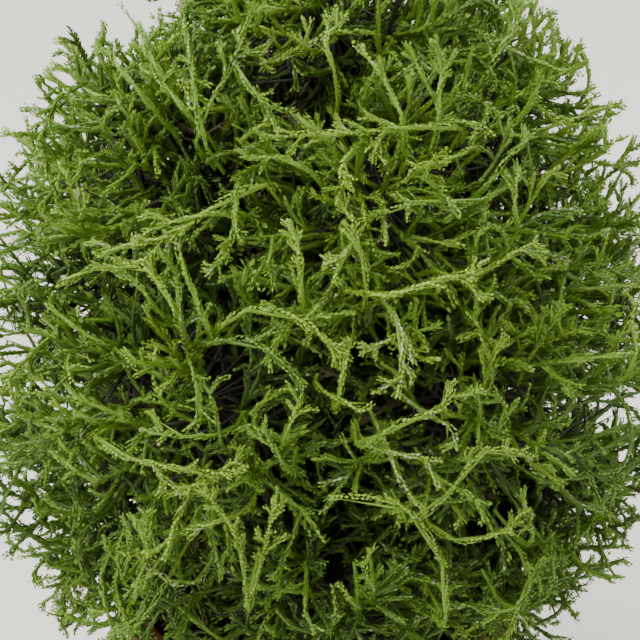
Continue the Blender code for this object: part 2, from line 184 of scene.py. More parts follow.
def model_pot():
    """Drawn up from its foot: a disc whose face is extruded ring by ring up the wall, over the rim and
    inside."""
    rings = pot_rings()
    bpy.ops.mesh.primitive_circle_add(vertices=POT_SIDES, radius=rings[0][0], fill_type="NGON")
    pot = bpy.context.object
    pot.name = "clay_pot"
    bpy.ops.object.mode_set(mode="EDIT")
    bpy.ops.mesh.select_all(action="SELECT")
    for (radius, height), (next_radius, next_height) in zip(rings, rings[1:]):
        bpy.ops.mesh.extrude_region_move(TRANSFORM_OT_translate={"value": (0, 0, next_height - height)})
        size = next_radius / radius
        bpy.ops.transform.resize(value=(size, size, 1))
    bpy.ops.mesh.select_all(action="SELECT")
    bpy.ops.mesh.normals_make_consistent(inside=False)
    bpy.ops.object.mode_set(mode="OBJECT")
    for hole in range(DRAIN_HOLES):
        angle = hole * math.tau / DRAIN_HOLES + FIRST_DRAIN
        spot = (DRAIN_DISTANCE * math.cos(angle), DRAIN_DISTANCE * math.sin(angle), 0)
        bpy.ops.mesh.primitive_cylinder_add(
            vertices=DRAIN_SIDES, radius=DRAIN_RADIUS, depth=4 * POT_FLOOR, location=spot
        )
        drill = bpy.context.object
        cut = pot.modifiers.new("drain", "BOOLEAN")
        cut.object = drill
        cut.operation = "DIFFERENCE"
        bpy.context.view_layer.objects.active = pot
        bpy.ops.object.modifier_apply(modifier="drain")
        bpy.data.objects.remove(drill)
    bpy.ops.object.select_all(action="DESELECT")
    pot.select_set(True)
    bpy.ops.object.shade_smooth_by_angle(angle=SHARP_FROM)
    pot.data.materials.append(terracotta())
    bpy.ops.object.select_all(action="DESELECT")
    return pot


pot = model_pot()
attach(pot, "root")
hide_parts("pot")

# The compost: damp peat and composted bark that fills the pot, dark and crumbly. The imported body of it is
# the frame's own solid, and loose crumbs and bark chips lie over its top.

SOIL_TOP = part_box("soil")[1].z
SOIL_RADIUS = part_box("soil")[1].x
SOIL_EDGE = 0.002
CRUMB_SEED = 5
CRUMB_COUNT = 5200
CHIP_SHARE = 0.16
PALE_CHIP_SHARE = 0.4
LEAST_CRUMB = 0.0006
CRUMB_SPREAD = 0.0011
# How long, wide and thick chips and crumbs are, in times their size, between two limits.
CHIP_SHAPE = ((2.2, 4.4), (1.2, 2.0), 0.5)
CRUMB_SHAPE = ((1, 1.6), (0.8, 1.3), (0.6, 1.1))
HEAP_RADIUS = 0.040
HEAP_HEIGHT = 0.002
LOOSE_HEIGHT = 0.0016


def compost(name, dark, light):
    """Damp compost: nearly black, matt, with browner fibres of about 2 mm."""
    material, shader = new_material(name, dark, 0.95)
    here = [("Vector", add_node(material, "TexCoord").outputs["Object"])]
    fibre = add_node(material, "TexNoise", here, scale=420.0, detail=6.0, roughness=0.7)
    colour = add_node(material, "ValToRGB", [("Fac", fibre)], [(0.35, dark), (0.70, light)])
    link(material, colour, shader, "Base Color")
    bump = add_node(material, "Bump", [("Height", fibre)], strength=0.8, distance=0.001)
    link(material, bump, shader, "Normal")
    return material


def mesh_from(name, corners, faces, slots, materials):
    """A mesh object from arrays of corners, of triangles and of each triangle's material."""
    mesh = bpy.data.meshes.new(name)
    mesh.vertices.add(len(corners))
    mesh.vertices.foreach_set("co", np.ascontiguousarray(corners, np.float32).ravel())
    mesh.loops.add(faces.size)
    mesh.loops.foreach_set("vertex_index", np.ascontiguousarray(faces, np.int32).ravel())
    mesh.polygons.add(len(faces))
    mesh.polygons.foreach_set("loop_start", np.arange(0, faces.size, 3, dtype=np.int32))
    for material in materials:
        mesh.materials.append(material)
    mesh.polygons.foreach_set("material_index", np.ascontiguousarray(slots, np.int32))
    mesh.update(calc_edges=True)
    mesh.validate()
    made = bpy.data.objects.new(name, mesh)
    bpy.context.scene.collection.objects.link(made)
    return made


def unit(vectors):
    return vectors / np.maximum(np.linalg.norm(vectors, axis=-1, keepdims=True), 1e-9)


def scatter_crumbs():
    """Crumbs and flat chips as small uneven octahedra, all over the top and a little heaped at the trunk."""
    rng = np.random.default_rng(CRUMB_SEED)
    count = CRUMB_COUNT
    bearing = rng.uniform(0, math.tau, count)
    radius = (SOIL_RADIUS - SOIL_EDGE) * np.sqrt(rng.uniform(0.004, 1, count))
    size = LEAST_CRUMB + CRUMB_SPREAD * rng.random(count) ** 2
    chip = rng.random(count) < CHIP_SHARE
    chip_long, chip_wide, chip_thick = CHIP_SHAPE
    crumb_long, crumb_wide, crumb_thick = CRUMB_SHAPE
    long = size * np.where(chip, rng.uniform(*chip_long, count), rng.uniform(*crumb_long, count))
    wide = size * np.where(chip, rng.uniform(*chip_wide, count), rng.uniform(*crumb_wide, count))
    thick = size * np.where(chip, chip_thick, rng.uniform(*crumb_thick, count))
    fall = HEAP_HEIGHT * np.clip((radius - HEAP_RADIUS) / (SOIL_RADIUS - HEAP_RADIUS), 0, 1)
    centre = np.stack([radius * np.cos(bearing), radius * np.sin(bearing), SOIL_TOP - fall + 0.3 * size], 1)
    centre[:, 2] += LOOSE_HEIGHT * rng.random(count) ** 3
    along = unit(rng.normal(size=(count, 3)) * (1, 1, 0.25))
    across = unit(np.cross(along, rng.normal(size=(count, 3)) * 0.3 + (0, 0, 1)))
    up = np.cross(along, across)
    corners = []
    for axis in (along * long[:, None], across * wide[:, None], up * thick[:, None]):
        for sign in (1, -1):
            corners.append(centre + sign * axis * rng.uniform(0.75, 1.15, (count, 1)))
    corners = np.stack(corners, 1)
    shape = np.array(
        [[0, 2, 4], [2, 1, 4], [1, 3, 4], [3, 0, 4], [2, 0, 5], [1, 2, 5], [3, 1, 5], [0, 3, 5]]
    )
    faces = shape[None] + corners.shape[1] * np.arange(count)[:, None, None]
    slots = np.repeat(np.where(chip, 1 + (rng.random(count) < PALE_CHIP_SHARE), 0), len(shape))
    materials = [compost("peat", "1c1410", "3a2a1e"), compost("bark_chip", "3a2718", "63452c")]
    materials.append(compost("pale_bark_chip", "5a4128", "8a6a45"))
    return mesh_from("compost_crumbs", corners.reshape(-1, 3), faces.reshape(-1, 3), slots, materials)


crumbs = scatter_crumbs()
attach(crumbs, "root")
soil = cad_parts["soil"]
soil.material_slots[0].material = compost("packed_compost", "17100c", "33241a")

# The trunk and boughs: red-brown bark in long fibrous strips over a tapered stem, flared at the soil. Each
# bough leaves the trunk and rises to its own clump of foliage.

GAP = 0.0003
SOIL_LEVEL = 0.137
TRUNK_TOP = 0.366
TRUNK_FOOT_RADIUS = 0.0078
TRUNK_TOP_RADIUS = 0.0026
TRUNK_FLARE = 0.0062
TRUNK_FLARE_HEIGHT = 0.008
TRUNK_LEAN = Vector((0.007, -0.004, 0))
TRUNK_SWAY = 0.0032
SWAY_TURNS = 0.8
SWAY_BACK = -0.6
BOUGH_BASE_RADIUS = 0.0040
BOUGH_TIP_RADIUS = 0.0020
BOUGH_FULL_LENGTH = 0.087
SLIGHTEST_BOUGH = 0.45
BOUGH_RINGS = 6
BEND_ALONG = 0.55
BEND_UP = 0.30
BOUGH_TIP_TO_CENTRE = 0.020
BOUGH_STAGGER = 0.007
BARK_STRIP_WIDTH = 0.0022
BARK_RELIEF = 0.0011
BARK_MIDDLE = 0.55
TRUNK_BARK_RINGS, TRUNK_BARK_SIDES = 71, 24
BOUGH_BARK_RINGS, BOUGH_BARK_SIDES = 24, 14
CROWN_FOOT = 0.147
CROWN_TOP = 0.440
CROWN_RADIUS = 0.134
CROWN_WIDEST = 0.36
CROWN_FOOT_SHARE = 0.72
CROWN_SHOULDER, CROWN_POINT = 1.9, 0.62
# Each tier's name and number of clumps, its share of the crown's height, its reach as a share of the crown's
# radius there, the bearing of its first clump, and how far below the clumps their boughs leave the trunk.
TIERS = (
    ("low", 5, 0.18, 0.62, math.radians(-90), 0.044),
    ("middle", 5, 0.44, 0.60, math.radians(-54), 0.072),
    ("high", 4, 0.70, 0.48, math.radians(-70), 0.054),
)
TOP_SHARE = 0.845
UP = Vector((0, 0, 1))


def crown_radius(shares):
    """The crown's radius at shares of its height: widest low down, and rounded over the top."""
    below = np.clip(1 - shares / CROWN_WIDEST, 0, 1)
    above = np.clip((shares - CROWN_WIDEST) / (1 - CROWN_WIDEST), 0, 1)
    low = 1 - (1 - CROWN_FOOT_SHARE) * below**2
    return CROWN_RADIUS * np.where(shares < CROWN_WIDEST, low, (1 - above**CROWN_SHOULDER) ** CROWN_POINT)


def height_at(share):
    return CROWN_FOOT + share * (CROWN_TOP - CROWN_FOOT)


def polar(radius, bearing, height):
    return Vector((radius * math.cos(bearing), radius * math.sin(bearing), height))


def trunk_point(share):
    """A point of the trunk's centre line, which rises straight from the soil and then leans and sways."""
    sway = TRUNK_SWAY * math.sin(share * math.tau * SWAY_TURNS) * share
    foot = SOIL_LEVEL + GAP
    return Vector((sway, SWAY_BACK * sway, foot + share * (TRUNK_TOP - foot))) + TRUNK_LEAN * share**2


def trunk_radius(share):
    rise = share * (TRUNK_TOP - SOIL_LEVEL)
    taper = TRUNK_FOOT_RADIUS + (TRUNK_TOP_RADIUS - TRUNK_FOOT_RADIUS) * share
    return taper + TRUNK_FLARE * math.exp(-rise / TRUNK_FLARE_HEIGHT)


def clump_centres():
    """(name, centre, height at which its bough leaves the trunk) of each clump; the top one has no bough."""
    clumps = []
    for tier, count, share, reach, bearing, fall in TIERS:
        height = height_at(share)
        for index in range(count):
            centre = polar(reach * crown_radius(share), bearing + index * math.tau / count, height)
            clumps.append((f"{tier}_{index + 1}", centre, height - fall + index * BOUGH_STAGGER))
    clumps.append(("top", trunk_point(1) + UP * (height_at(TOP_SHARE) - TRUNK_TOP), None))
    return clumps


def read_bow(bow, rings):
    """Points along the smooth bow that three points give."""
    root, bend, tip = bow
    shares = [ring / (rings - 1) for ring in range(rings)]
    return [root.lerp(bend, share).lerp(bend.lerp(tip, share), share) for share in shares]


def bough_line(centre, leaves_at):
    """The bough's centre line, from inside the trunk out and up to its tip, short of the clump's centre."""
    start = trunk_point((leaves_at - SOIL_LEVEL) / (TRUNK_TOP - SOIL_LEVEL))
    bend = start.lerp(centre, BEND_ALONG)
    bend.z = start.z + BEND_UP * (centre.z - start.z)
    end = centre - (centre - bend).normalized() * BOUGH_TIP_TO_CENTRE
    return read_bow((start, bend, end), BOUGH_RINGS)


def fibrous_bark():
    """Cypress bark: red-brown and dull, in narrow strips of about 1 mm that run up the limb and lift a little
    at their edges."""
    material, shader = new_material("fibrous_bark", "6b4330", 0.9)
    here = [("Vector", add_node(material, "TexCoord").outputs["Object"])]
    drawn = add_node(material, "Mapping", here, scale=(1, 1, 0.12))
    strip = add_node(material, "TexNoise", [("Vector", drawn)], scale=900.0, detail=5.0, roughness=0.65)
    browns = [(0.30, "2f1c14"), (0.75, "8a5f44"), (0.52, "5d3a29")]
    link(material, add_node(material, "ValToRGB", [("Fac", strip)], browns), shader, "Base Color")
    bump = add_node(material, "Bump", [("Height", strip)], strength=0.9, distance=0.0009)
    link(material, bump, shader, "Normal")
    return material


def limb(name, points, radii, sides):
    """A tapered round limb along the points, with its bark's strips raised as real ridges."""
    curve = bpy.data.curves.new(name, "CURVE")
    curve.dimensions = "3D"
    curve.bevel_depth = 1
    curve.bevel_resolution = sides // 2 - 2
    curve.use_fill_caps = True
    spline = curve.splines.new("POLY")
    spline.points.add(len(points) - 1)
    for spot, place, radius in zip(spline.points, points, radii):
        spot.co = (*place, 1)
        spot.radius = radius
    made = bpy.data.objects.new(name, curve)
    bpy.context.scene.collection.objects.link(made)
    bpy.context.view_layer.objects.active = made
    made.select_set(True)
    bpy.ops.object.convert(target="MESH")
    bpy.ops.object.mode_set(mode="EDIT")
    bpy.ops.mesh.select_all(action="SELECT")
    bpy.ops.mesh.remove_doubles(threshold=1e-6)
    bpy.ops.mesh.normals_make_consistent(inside=False)
    bpy.ops.object.mode_set(mode="OBJECT")
    grain = bpy.data.textures.new(f"{name}_strips", "CLOUDS")
    grain.noise_scale = BARK_STRIP_WIDTH
    for kind, settings in (
        ("SUBSURF", {"levels": 1, "render_levels": 1}),
        ("DISPLACE", {"texture": grain, "strength": BARK_RELIEF, "mid_level": BARK_MIDDLE}),
    ):
        modifier = made.modifiers.new(kind.lower(), kind)
        for key, value in settings.items():
            setattr(modifier, key, value)
        bpy.ops.object.modifier_apply(modifier=modifier.name)
    made.select_set(False)
    made.data.materials.append(bark)
    made.data.shade_smooth()
    return made


def spaced(points, radii, count):
    """The line and radii read again at evenly spaced places."""
    places, sizes = [], []
    for step in range(count):
        place = step / (count - 1) * (len(points) - 1)
        index = min(int(place), len(points) - 2)
        places.append(points[index].lerp(points[index + 1], place - index))
        sizes.append(radii[index] + (radii[index + 1] - radii[index]) * (place - index))
    return places, sizes


clumps = clump_centres()
bark = fibrous_bark()
shares = [ring / (TRUNK_BARK_RINGS - 1) for ring in range(TRUNK_BARK_RINGS)]
trunk_line = [trunk_point(share) for share in shares]
trunk = limb("trunk_bark", trunk_line, [trunk_radius(share) for share in shares], TRUNK_BARK_SIDES)
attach(trunk, "root")
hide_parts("trunk")

boughs = []
for clump_name, centre, leaves_at in clumps:
    if leaves_at is None:
        continue
    line = bough_line(centre, leaves_at)
    stout = (line[-1] - line[0]).length / BOUGH_FULL_LENGTH
    base = BOUGH_BASE_RADIUS * min(1, SLIGHTEST_BOUGH + (1 - SLIGHTEST_BOUGH) * stout)
    radii = [base + (BOUGH_TIP_RADIUS - base) * ring / (BOUGH_RINGS - 1) for ring in range(BOUGH_RINGS)]
    boughs.append((line, radii))
    bough = limb(f"bough_bark_{clump_name}", *spaced(line, radii, BOUGH_BARK_RINGS), BOUGH_BARK_SIDES)
    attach(bough, "root")
    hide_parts(f"bough_{clump_name}")

# The foliage: cord-like shoots clad all round in small pointed scale leaves, in crossed pairs. They twist,
# arch and branch in every direction. Each clump grows from its bough's tip and fills a part of the crown.

SEED = 11
GOLDEN_ANGLE = math.pi * (3 - math.sqrt(5))

# The twigs and side sprays, by the rule that the solids were grown by. SPRAYS gives each spray's distance
# from the twig's tip, and its length.
CORE_CORNERS = 42
TIP_COUNT = 172
TIP_JITTER = 0.004
CROWN_DROOP = 0.016
DROOP_BELOW = 0.22
CROWN_SLICES = 120
CLEFT_DEPTH = 0.010
CLEFT_WIDTH = 0.026
OUTWARD_RISE = 0.55
TWIG_ROOT = 0.15
TWIG_BEND = 0.25
TWIG_SWAY = 0.006
TWIG_RADIUS = 0.0028
TWIG_RINGS = 4
TWIG_POINTS = 13
SPRAYS = ((0.034, 0.026), (0.023, 0.023), (0.012, 0.017))
SPRAY_ANGLE = math.radians(52)
SPRAY_RADIUS = 0.0040
SPRAY_BELLY = 0.50
SPRAY_STRETCH = 1.2


def crown_shares(count):
    """Shares of the crown's height that part its surface into count equal areas, from the foot up."""
    edges = np.linspace(0, 1, CROWN_SLICES + 1)
    radii = crown_radius(edges)
    slopes = np.hypot(np.diff(radii), (CROWN_TOP - CROWN_FOOT) / CROWN_SLICES)
    passed = np.concatenate([[0], np.cumsum((radii[:-1] + radii[1:]) / 2 * slopes)])
    return np.interp((np.arange(count) + 0.5) / count * passed[-1], passed, edges)


def tips():
    """(tip, clump index) of each twig: even over the crown, jittered, and drawn in along the clefts."""
    rng = Random(SEED)
    found = []
    for index, share in enumerate(crown_shares(TIP_COUNT)):
        bearing = index * GOLDEN_ANGLE
        tip = polar(crown_radius(share), bearing, height_at(share))
        tip += Vector([rng.uniform(-TIP_JITTER, TIP_JITTER) for _ in range(3)])
        tip.z -= CROWN_DROOP * max(0, 1 - share / DROOP_BELOW)
        order = sorted(range(len(clumps)), key=lambda i: (tip - clumps[i][1]).length)
        nearest, second = (clumps[i][1] for i in order[:2])
        closeness = (tip - second).length - (tip - nearest).length
        cleft = max(0, 1 - closeness / CLEFT_WIDTH)
        tip += (nearest - tip).normalized() * CLEFT_DEPTH * cleft**2
        found.append((tip, order[0]))
    return found


def outward(point):
    """The way out of the crown at the point: away from the trunk, and more upwards the higher it is."""
    return Vector((point.x, point.y, OUTWARD_RISE * (point.z - height_at(CROWN_WIDEST)))).normalized()


def square_to(direction):
    return direction.orthogonal().normalized()


def twig_bow(centre, tip, rng):
    """The three points that bow a twig from inside the clump to its tip, so that it ends pointing out."""
    root = centre.lerp(tip, TWIG_ROOT)
    run = (tip - root).normalized()
    side = Matrix.Rotation(rng.uniform(0, math.tau), 3, run) @ square_to(run)
    bend = root.lerp(tip, 0.5) - outward(tip) * TWIG_BEND * (tip - root).length + side * TWIG_SWAY
    return root, bend, tip


def along(line, share):
    """(point, direction) at a share of a line of evenly spaced points."""
    place = share * (len(line) - 1)
    index = max(0, min(int(place), len(line) - 2))
    return line[index].lerp(line[index + 1], place - index), (line[index + 1] - line[index]).normalized()


# What keeps a clump in its own space, and the shoots not far out of the crown. The rim of the pot is cleared
# by RIM_ROOM, and shoots hang no lower than HANG_DEPTH below it outside the pot.
SPACE_MARGIN = 0.0006
LIMB_MARGIN = 0.0010
LIMB_RINGS = 14
OVERLAP = -0.0030
RIM_SIDE_ROOM = 0.003
RIM_ROOM = 0.002
HANG_DEPTH = 0.022
REACH_BEYOND = 0.009
FRONT_PROUD = 0.006
SURFACE_SLACK = 0.0004
CROWN_MIDDLE = 0.45
# The room that a spray and a fine shoot need about their centre lines.
SPRAY_ROOM = 0.001
SHOOT_ROOM = 0.0008


def depth_of(points):
    """How far each point lies inside the crown's surface."""
    radii = crown_radius((points[..., 2] - CROWN_FOOT) / (CROWN_TOP - CROWN_FOOT))
    return np.minimum(radii - np.hypot(points[..., 0], points[..., 1]), CROWN_TOP - points[..., 2])


def within(points, proud):
    """Whether each point lies inside the crown once that is larger all round by the proud amount."""
    middle = height_at(CROWN_MIDDLE)
    size = 1 / (1 + proud / CROWN_RADIUS)
    heights = middle + (points[..., 2] - middle) * size
    reach = crown_radius((heights - CROWN_FOOT) / (CROWN_TOP - CROWN_FOOT))
    return np.hypot(points[..., 0], points[..., 1]) * size < reach + SURFACE_SLACK


# The photograph's view, and the dark hollows in it as (across, down, radius) in the 640 by 640 picture.
VIEW_DOWN = math.radians(32)
VIEW_TARGET = Vector((0, -0.095, 0.331))
VIEW_DISTANCE = 0.585
VIEW_LENS = 100
VIEW_BACK = Vector((0, -math.cos(VIEW_DOWN), math.sin(VIEW_DOWN)))
VIEW_UP = Vector((0, math.sin(VIEW_DOWN), math.cos(VIEW_DOWN)))
VIEW_PLACE = VIEW_TARGET + VIEW_BACK * VIEW_DISTANCE
PICTURE_HALF = 320
PICTURE_SPREAD = 18 / VIEW_LENS
SHOWN_ACROSS = 230
SHOWN_DOWN = PICTURE_HALF + 10
HOLLOW_DEPTH = 0.036
HOLLOWS = (
    (140, 12, 36), (325, 95, 20), (350, 77, 14), (293, 178, 13), (471, 160, 10), (476, 187, 13),
    (450, 259, 12), (311, 264, 10), (388, 402, 20), (443, 384, 14), (432, 433, 13), (506, 490, 32),
    (480, 520, 14), (198, 568, 17), (218, 602, 18), (350, 566, 24), (231, 406, 9), (420, 395, 12),
    (150, 190, 12),
)


def picture_place(points):
    """Where each point falls in the 640 by 640 picture, and whether it is on the side that this shows."""
    offset = points - np.array(VIEW_PLACE)
    away = -(offset @ np.array(VIEW_BACK))
    across = PICTURE_HALF * (1 + offset[..., 0] / away / PICTURE_SPREAD)
    down = PICTURE_HALF * (1 - offset @ np.array(VIEW_UP) / away / PICTURE_SPREAD)
    front = (points - np.array((0, 0, height_at(CROWN_MIDDLE)))) @ np.array(VIEW_BACK) > 0
    shown = front & (abs(across - PICTURE_HALF) < SHOWN_ACROSS) & (abs(down - PICTURE_HALF) < SHOWN_DOWN)
    return across, down, shown


class Space:
    """What a clump may fill: nearer to its own centre than to any other, clear of limbs and pot."""

    def __init__(self, index):
        own = np.array(clumps[index][1])
        others = np.array([centre for i, (_, centre, _) in enumerate(clumps) if i != index])
        self.middles = (own + others) / 2
        self.ways = unit(others - own)
        starts, ends, sizes = [], [], []
        trunk_line = [trunk_point(ring / LIMB_RINGS) for ring in range(LIMB_RINGS + 1)]
        for line, size in [(trunk_line, TRUNK_FOOT_RADIUS), *((line, radii[0]) for line, radii in boughs)]:
            starts += line[:-1]
            ends += line[1:]
            sizes += [size] * (len(line) - 1)
        self.starts, self.runs = np.array(starts), np.array(ends) - np.array(starts)
        self.sizes = np.array(sizes)

    def holds(self, points, thickness, margin=SPACE_MARGIN):
        """For an array of points, whether each is in the space with the thickness to spare."""
        flat = points.reshape(-1, 3)
        border = np.min([(m - flat) @ w for m, w in zip(self.middles, self.ways)], axis=0)
        fits = border > margin + thickness
        for start, run, size in zip(self.starts, self.runs, self.sizes):
            offset = flat - start
            share = np.clip(offset @ run / (run @ run), 0, 1)
            away = np.linalg.norm(offset - share[:, None] * run, axis=1) - size
            fits &= away > LIMB_MARGIN + thickness
        radius = np.hypot(flat[:, 0], flat[:, 1])
        over_pot = radius - POT_RIM < RIM_SIDE_ROOM
        lowest = np.where(over_pot, POT_HEIGHT + RIM_ROOM, POT_HEIGHT - HANG_DEPTH)
        fits &= flat[:, 2] - thickness > lowest
        return fits.reshape(points.shape[:-1])

    def lets_grow(self, points, thickness):
        """Whether each point of a fine shoot is near enough the space, and not far out of the crown."""
        across, down, shown = picture_place(points)
        inside = within(points, np.where(shown, FRONT_PROUD, REACH_BEYOND))
        near_surface = shown & ~within(points, -HOLLOW_DEPTH)
        for hollow_across, hollow_down, radius in HOLLOWS:
            hollow = (across - hollow_across) ** 2 + (down - hollow_down) ** 2 < radius**2
            inside &= ~(near_surface & hollow)
        return self.holds(points, thickness, OVERLAP) & inside


# How each kind of shoot stands on what carries it: the gap between two, the carrier's length left bare at the
# root (below zero, the length that bears them at the tip), their lean in radians, their length, the steps,
# curl and rise that they grow with, and a power below 1 that bunches them towards the carrier's tip.
SIDE_SHOOTS = {
    "side": (0.0078, 0.014, 0.80, 0.048, 8, 38, 24, 0.8),
    "shoot": (0.0070, 0.004, 0.72, 0.0115, 2, 70, 40, 0.8),
    "shoot_tip": (0.0060, 0.002, 0.72, 0.0054, 1, 40, 30, 0.8),
    "inner_side": (0.0080, 0.006, 0.9, 0.036, 4, 24, 10, 0.8),
    "inner_shoot": (0.0078, 0.003, 0.8, 0.0145, 2, 45, 8, 0.8),
    "dead_twig": (0.0090, 0.002, 1.1, 0.044, 2, 30, 0, 0.8),
    "arching_side": (0.0074, 0.028, 0.64, 0.0130, 3, 60, 20, 0.6),
    "arching_tip": (0.0050, 0.002, 0.70, 0.0056, 1, 40, 30, 0.8),
    "tuft": (0.0022, -0.0065, 0.60, 0.0062, 1, 30, 30, 1),
}
# How much shoots differ among themselves. FULLNESS, LENGTH_RANGE and ARCHING_OVER are in times the usual.
SPARSE_CARRIERS, SPARSE = 0.35, 0.3
FULLNESS = (0.7, 1.4)
PLACE_IN_GAP = (0.2, 0.8)
TURN_JITTER = 0.5
LEAN_JITTER = math.radians(10)
SHORTER_TO_TIP = 0.45
LENGTH_RANGE = (0.45, 1.35)
LIFT_JITTER = 0.5
ARCHING_OVER = (0.6, 2.4)
CURL_WANDER = 90


def grow(starts, ways, lengths, steps, curl, rise, rng):
    """Centre lines of a batch of shoots, which turn upwards, arch over again and curl about slowly turning
    axes."""
    count = len(starts)
    way = unit(ways)
    axis = unit(np.cross(way, rng.normal(size=(count, 3))))
    bend = rng.normal(0, curl, (count, 1))
    lift = rng.normal(rise, LIFT_JITTER * abs(rise), (count, 1))
    droop = rng.uniform(*ARCHING_OVER, (count, 1))
    step = (lengths / steps)[:, None]
    points = [starts]
    for index in range(steps):
        up = np.array((0, 0, 1)) * lift * (1 - droop * index / steps)
        way = unit(way + (np.cross(axis, way) * bend + up) * step)
        axis = unit(axis + np.cross(way, axis) * rng.normal(0, CURL_WANDER, (count, 1)) * step)
        points.append(points[-1] + way * step)
    return np.stack(points, 1)


def resampled(lines, shares):
    """Each line's first share of its length, as evenly spaced points again."""
    steps = lines.shape[1] - 1
    place = np.linspace(0, 1, steps + 1)[None] * (shares * steps)[:, None]
    index = np.minimum(place.astype(int), steps - 1)
    rows = np.arange(len(lines))[:, None]
    part = (place - index)[..., None]
    return lines[rows, index] * (1 - part) + lines[rows, index + 1] * part


def trimmed(lines, lengths, space, thickness, shortest):
    """The lines cut back to the stretch that may grow, without those left shorter than the shortest."""
    steps = lines.shape[1] - 1
    fits = space.lets_grow(lines[:, 1:], thickness)
    shares = np.cumprod(fits, axis=1).sum(axis=1) / steps
    kept = shares * lengths > shortest
    return resampled(lines[kept], shares[kept]), (lengths * shares)[kept], np.flatnonzero(kept)


def read_at(lines, rows, shares):
    """(points, directions) at shares along the given rows of a batch of lines."""
    steps = lines.shape[1] - 1
    place = np.clip(shares, 0, 1) * steps
    index = np.minimum(place.astype(int), steps - 1)
    low, high = lines[rows, index], lines[rows, index + 1]
    part = (place - index)[:, None]
    return low + (high - low) * part, unit(high - low)


def numbered(counts):
    """For counts such as 2, 3: the owners 0, 0, 1, 1, 1 and each one's number in its owner, 0, 1, 0, 1, 2."""
    owners = np.repeat(np.arange(len(counts)), counts)
    firsts = np.cumsum(counts) - counts
    return owners, np.arange(len(owners)) - firsts[owners]


def branch(kind, carriers, carrier_lengths, space, rng):
    """Side shoots of a kind on every carrier, turned round it by the golden angle. Returns their lines, their
    lengths and which carrier each is on. About a third of the carriers bear fewer."""
    gap, bare, angle, length, steps, curl, rise, bunch = SIDE_SHOOTS[kind]
    count = len(carriers)
    bare = np.maximum(carrier_lengths + bare, 0) if bare < 0 else np.full(count, bare)
    fullness = np.where(rng.random(count) < SPARSE_CARRIERS, SPARSE, rng.uniform(*FULLNESS, count))
    borne = np.maximum(np.round((carrier_lengths - bare) / gap * fullness), 0)
    parents, order = numbered(borne.astype(int))
    spacing = (carrier_lengths - bare)[parents] / borne[parents]
    places = bare[parents] + spacing * (order + rng.uniform(*PLACE_IN_GAP, len(order)))
    shares = (places / carrier_lengths[parents]) ** bunch
    starts, ways = read_at(carriers, parents, shares)
    side = unit(np.cross(ways, unit(rng.normal(size=(count, 3)))[parents]))
    other = np.cross(ways, side)
    turn = (order * GOLDEN_ANGLE + rng.normal(0, TURN_JITTER, len(order)))[:, None]
    lean = rng.normal(angle, LEAN_JITTER, len(order))[:, None]
    ways = ways * np.cos(lean) + (side * np.cos(turn) + other * np.sin(turn)) * np.sin(lean)
    lengths = length * (1 - SHORTER_TO_TIP * shares) * rng.uniform(*LENGTH_RANGE, len(order))
    lines = grow(starts, ways, lengths, steps, curl, rise, rng)
    lines, lengths, kept = trimmed(lines, lengths, space, SHOOT_ROOM, 2 * SHOOT_ROOM)
    return lines, lengths, parents[kept]


# The leaf: its length in spacings, where along it is widest, how wide that is and how far it stands off the
# cord's middle in radii at its root, middle and tip, and how far the last ones may pass the shoot's tip.
LEAF_LENGTH = 2.3
LEAF_WIDEST = 0.42
LEAF_HALF_WIDTH = 0.50
LEAF_ROOT, LEAF_MIDDLE, LEAF_TIP = 0.72, 0.86, 0.96
LEAF_TURN = math.pi / 2 + 0.13
PLACE_JITTER, TURNED_JITTER = 0.09, 0.14
NEAR_TIP, SHORTER_LEAF, FLATTER_LEAF = 0.25, 0.40, 0.3
SWELL, SWELL_PACE = 0.13, 0.42
LEAF_SIZES, LEAF_LENGTHS, LEAF_STANDS = (0.9, 1.12), (0.85, 1.2), (0.85, 1.25)
OPEN_SHARE = 0.25
OPEN_TIP = (1.10, 1.40)
TIP_LEAF = 0.0014
STEM_SHARE = 0.80
STEM_SIDES = 3
STEM_RINGS = 4
ASKEW = np.array((0.37, 0.61, 0.70))
COARSE_SPACING = 0.0015
BLOOMED_SHOOTS, BLOOM_ON_THEM, BLOOM_ELSEWHERE = 0.06, 0.35, 0.006
TIP_COLOURED = 0.70
SHADE_OFF = 0.06


def stems(lines, radii, shades, woody_share):
    """Three-sided stems, open where they root and tapered to a point, woody first and then as green as their
    leaves."""
    lines = lines[:, :: max(1, lines.shape[1] // STEM_RINGS)]
    count, rings = lines.shape[0], lines.shape[1]
    ways = unit(np.gradient(lines, axis=1))
    side = unit(np.cross(ways, ASKEW))
    other = np.cross(ways, side)
    size = radii[:, None, None] * np.linspace(1, 0.75, rings)[None, :, None]
    corners = []
    for corner in range(STEM_SIDES):
        angle = corner * math.tau / STEM_SIDES
        corners.append(lines + size * (side * math.cos(angle) + other * math.sin(angle)))
    body = np.stack(corners, 2)[:, :-1].reshape(count, -1, 3)
    corners = np.concatenate([body, lines[:, -1:]], axis=1)
    faces, places = [], []
    for ring in range(rings - 2):
        for corner in range(STEM_SIDES):
            a, b = STEM_SIDES * ring + corner, STEM_SIDES * ring + (corner + 1) % STEM_SIDES
            faces += [(a, b, b + STEM_SIDES), (a, b + STEM_SIDES, a + STEM_SIDES)]
            places += [(ring + 0.5) / (rings - 1)] * 2
    last = STEM_SIDES * (rings - 2)
    for corner in range(STEM_SIDES):
        faces.append((last + corner, last + (corner + 1) % STEM_SIDES, last + STEM_SIDES))
        places.append(1)
    every = np.array(faces)[None] + corners.shape[1] * np.arange(count)[:, None, None]
    slots = np.where(np.array(places)[None] < woody_share, WOODY_PAINTED_DARK, shades[:, None])
    return corners.reshape(-1, 3), every.reshape(-1, 3), slots.ravel()


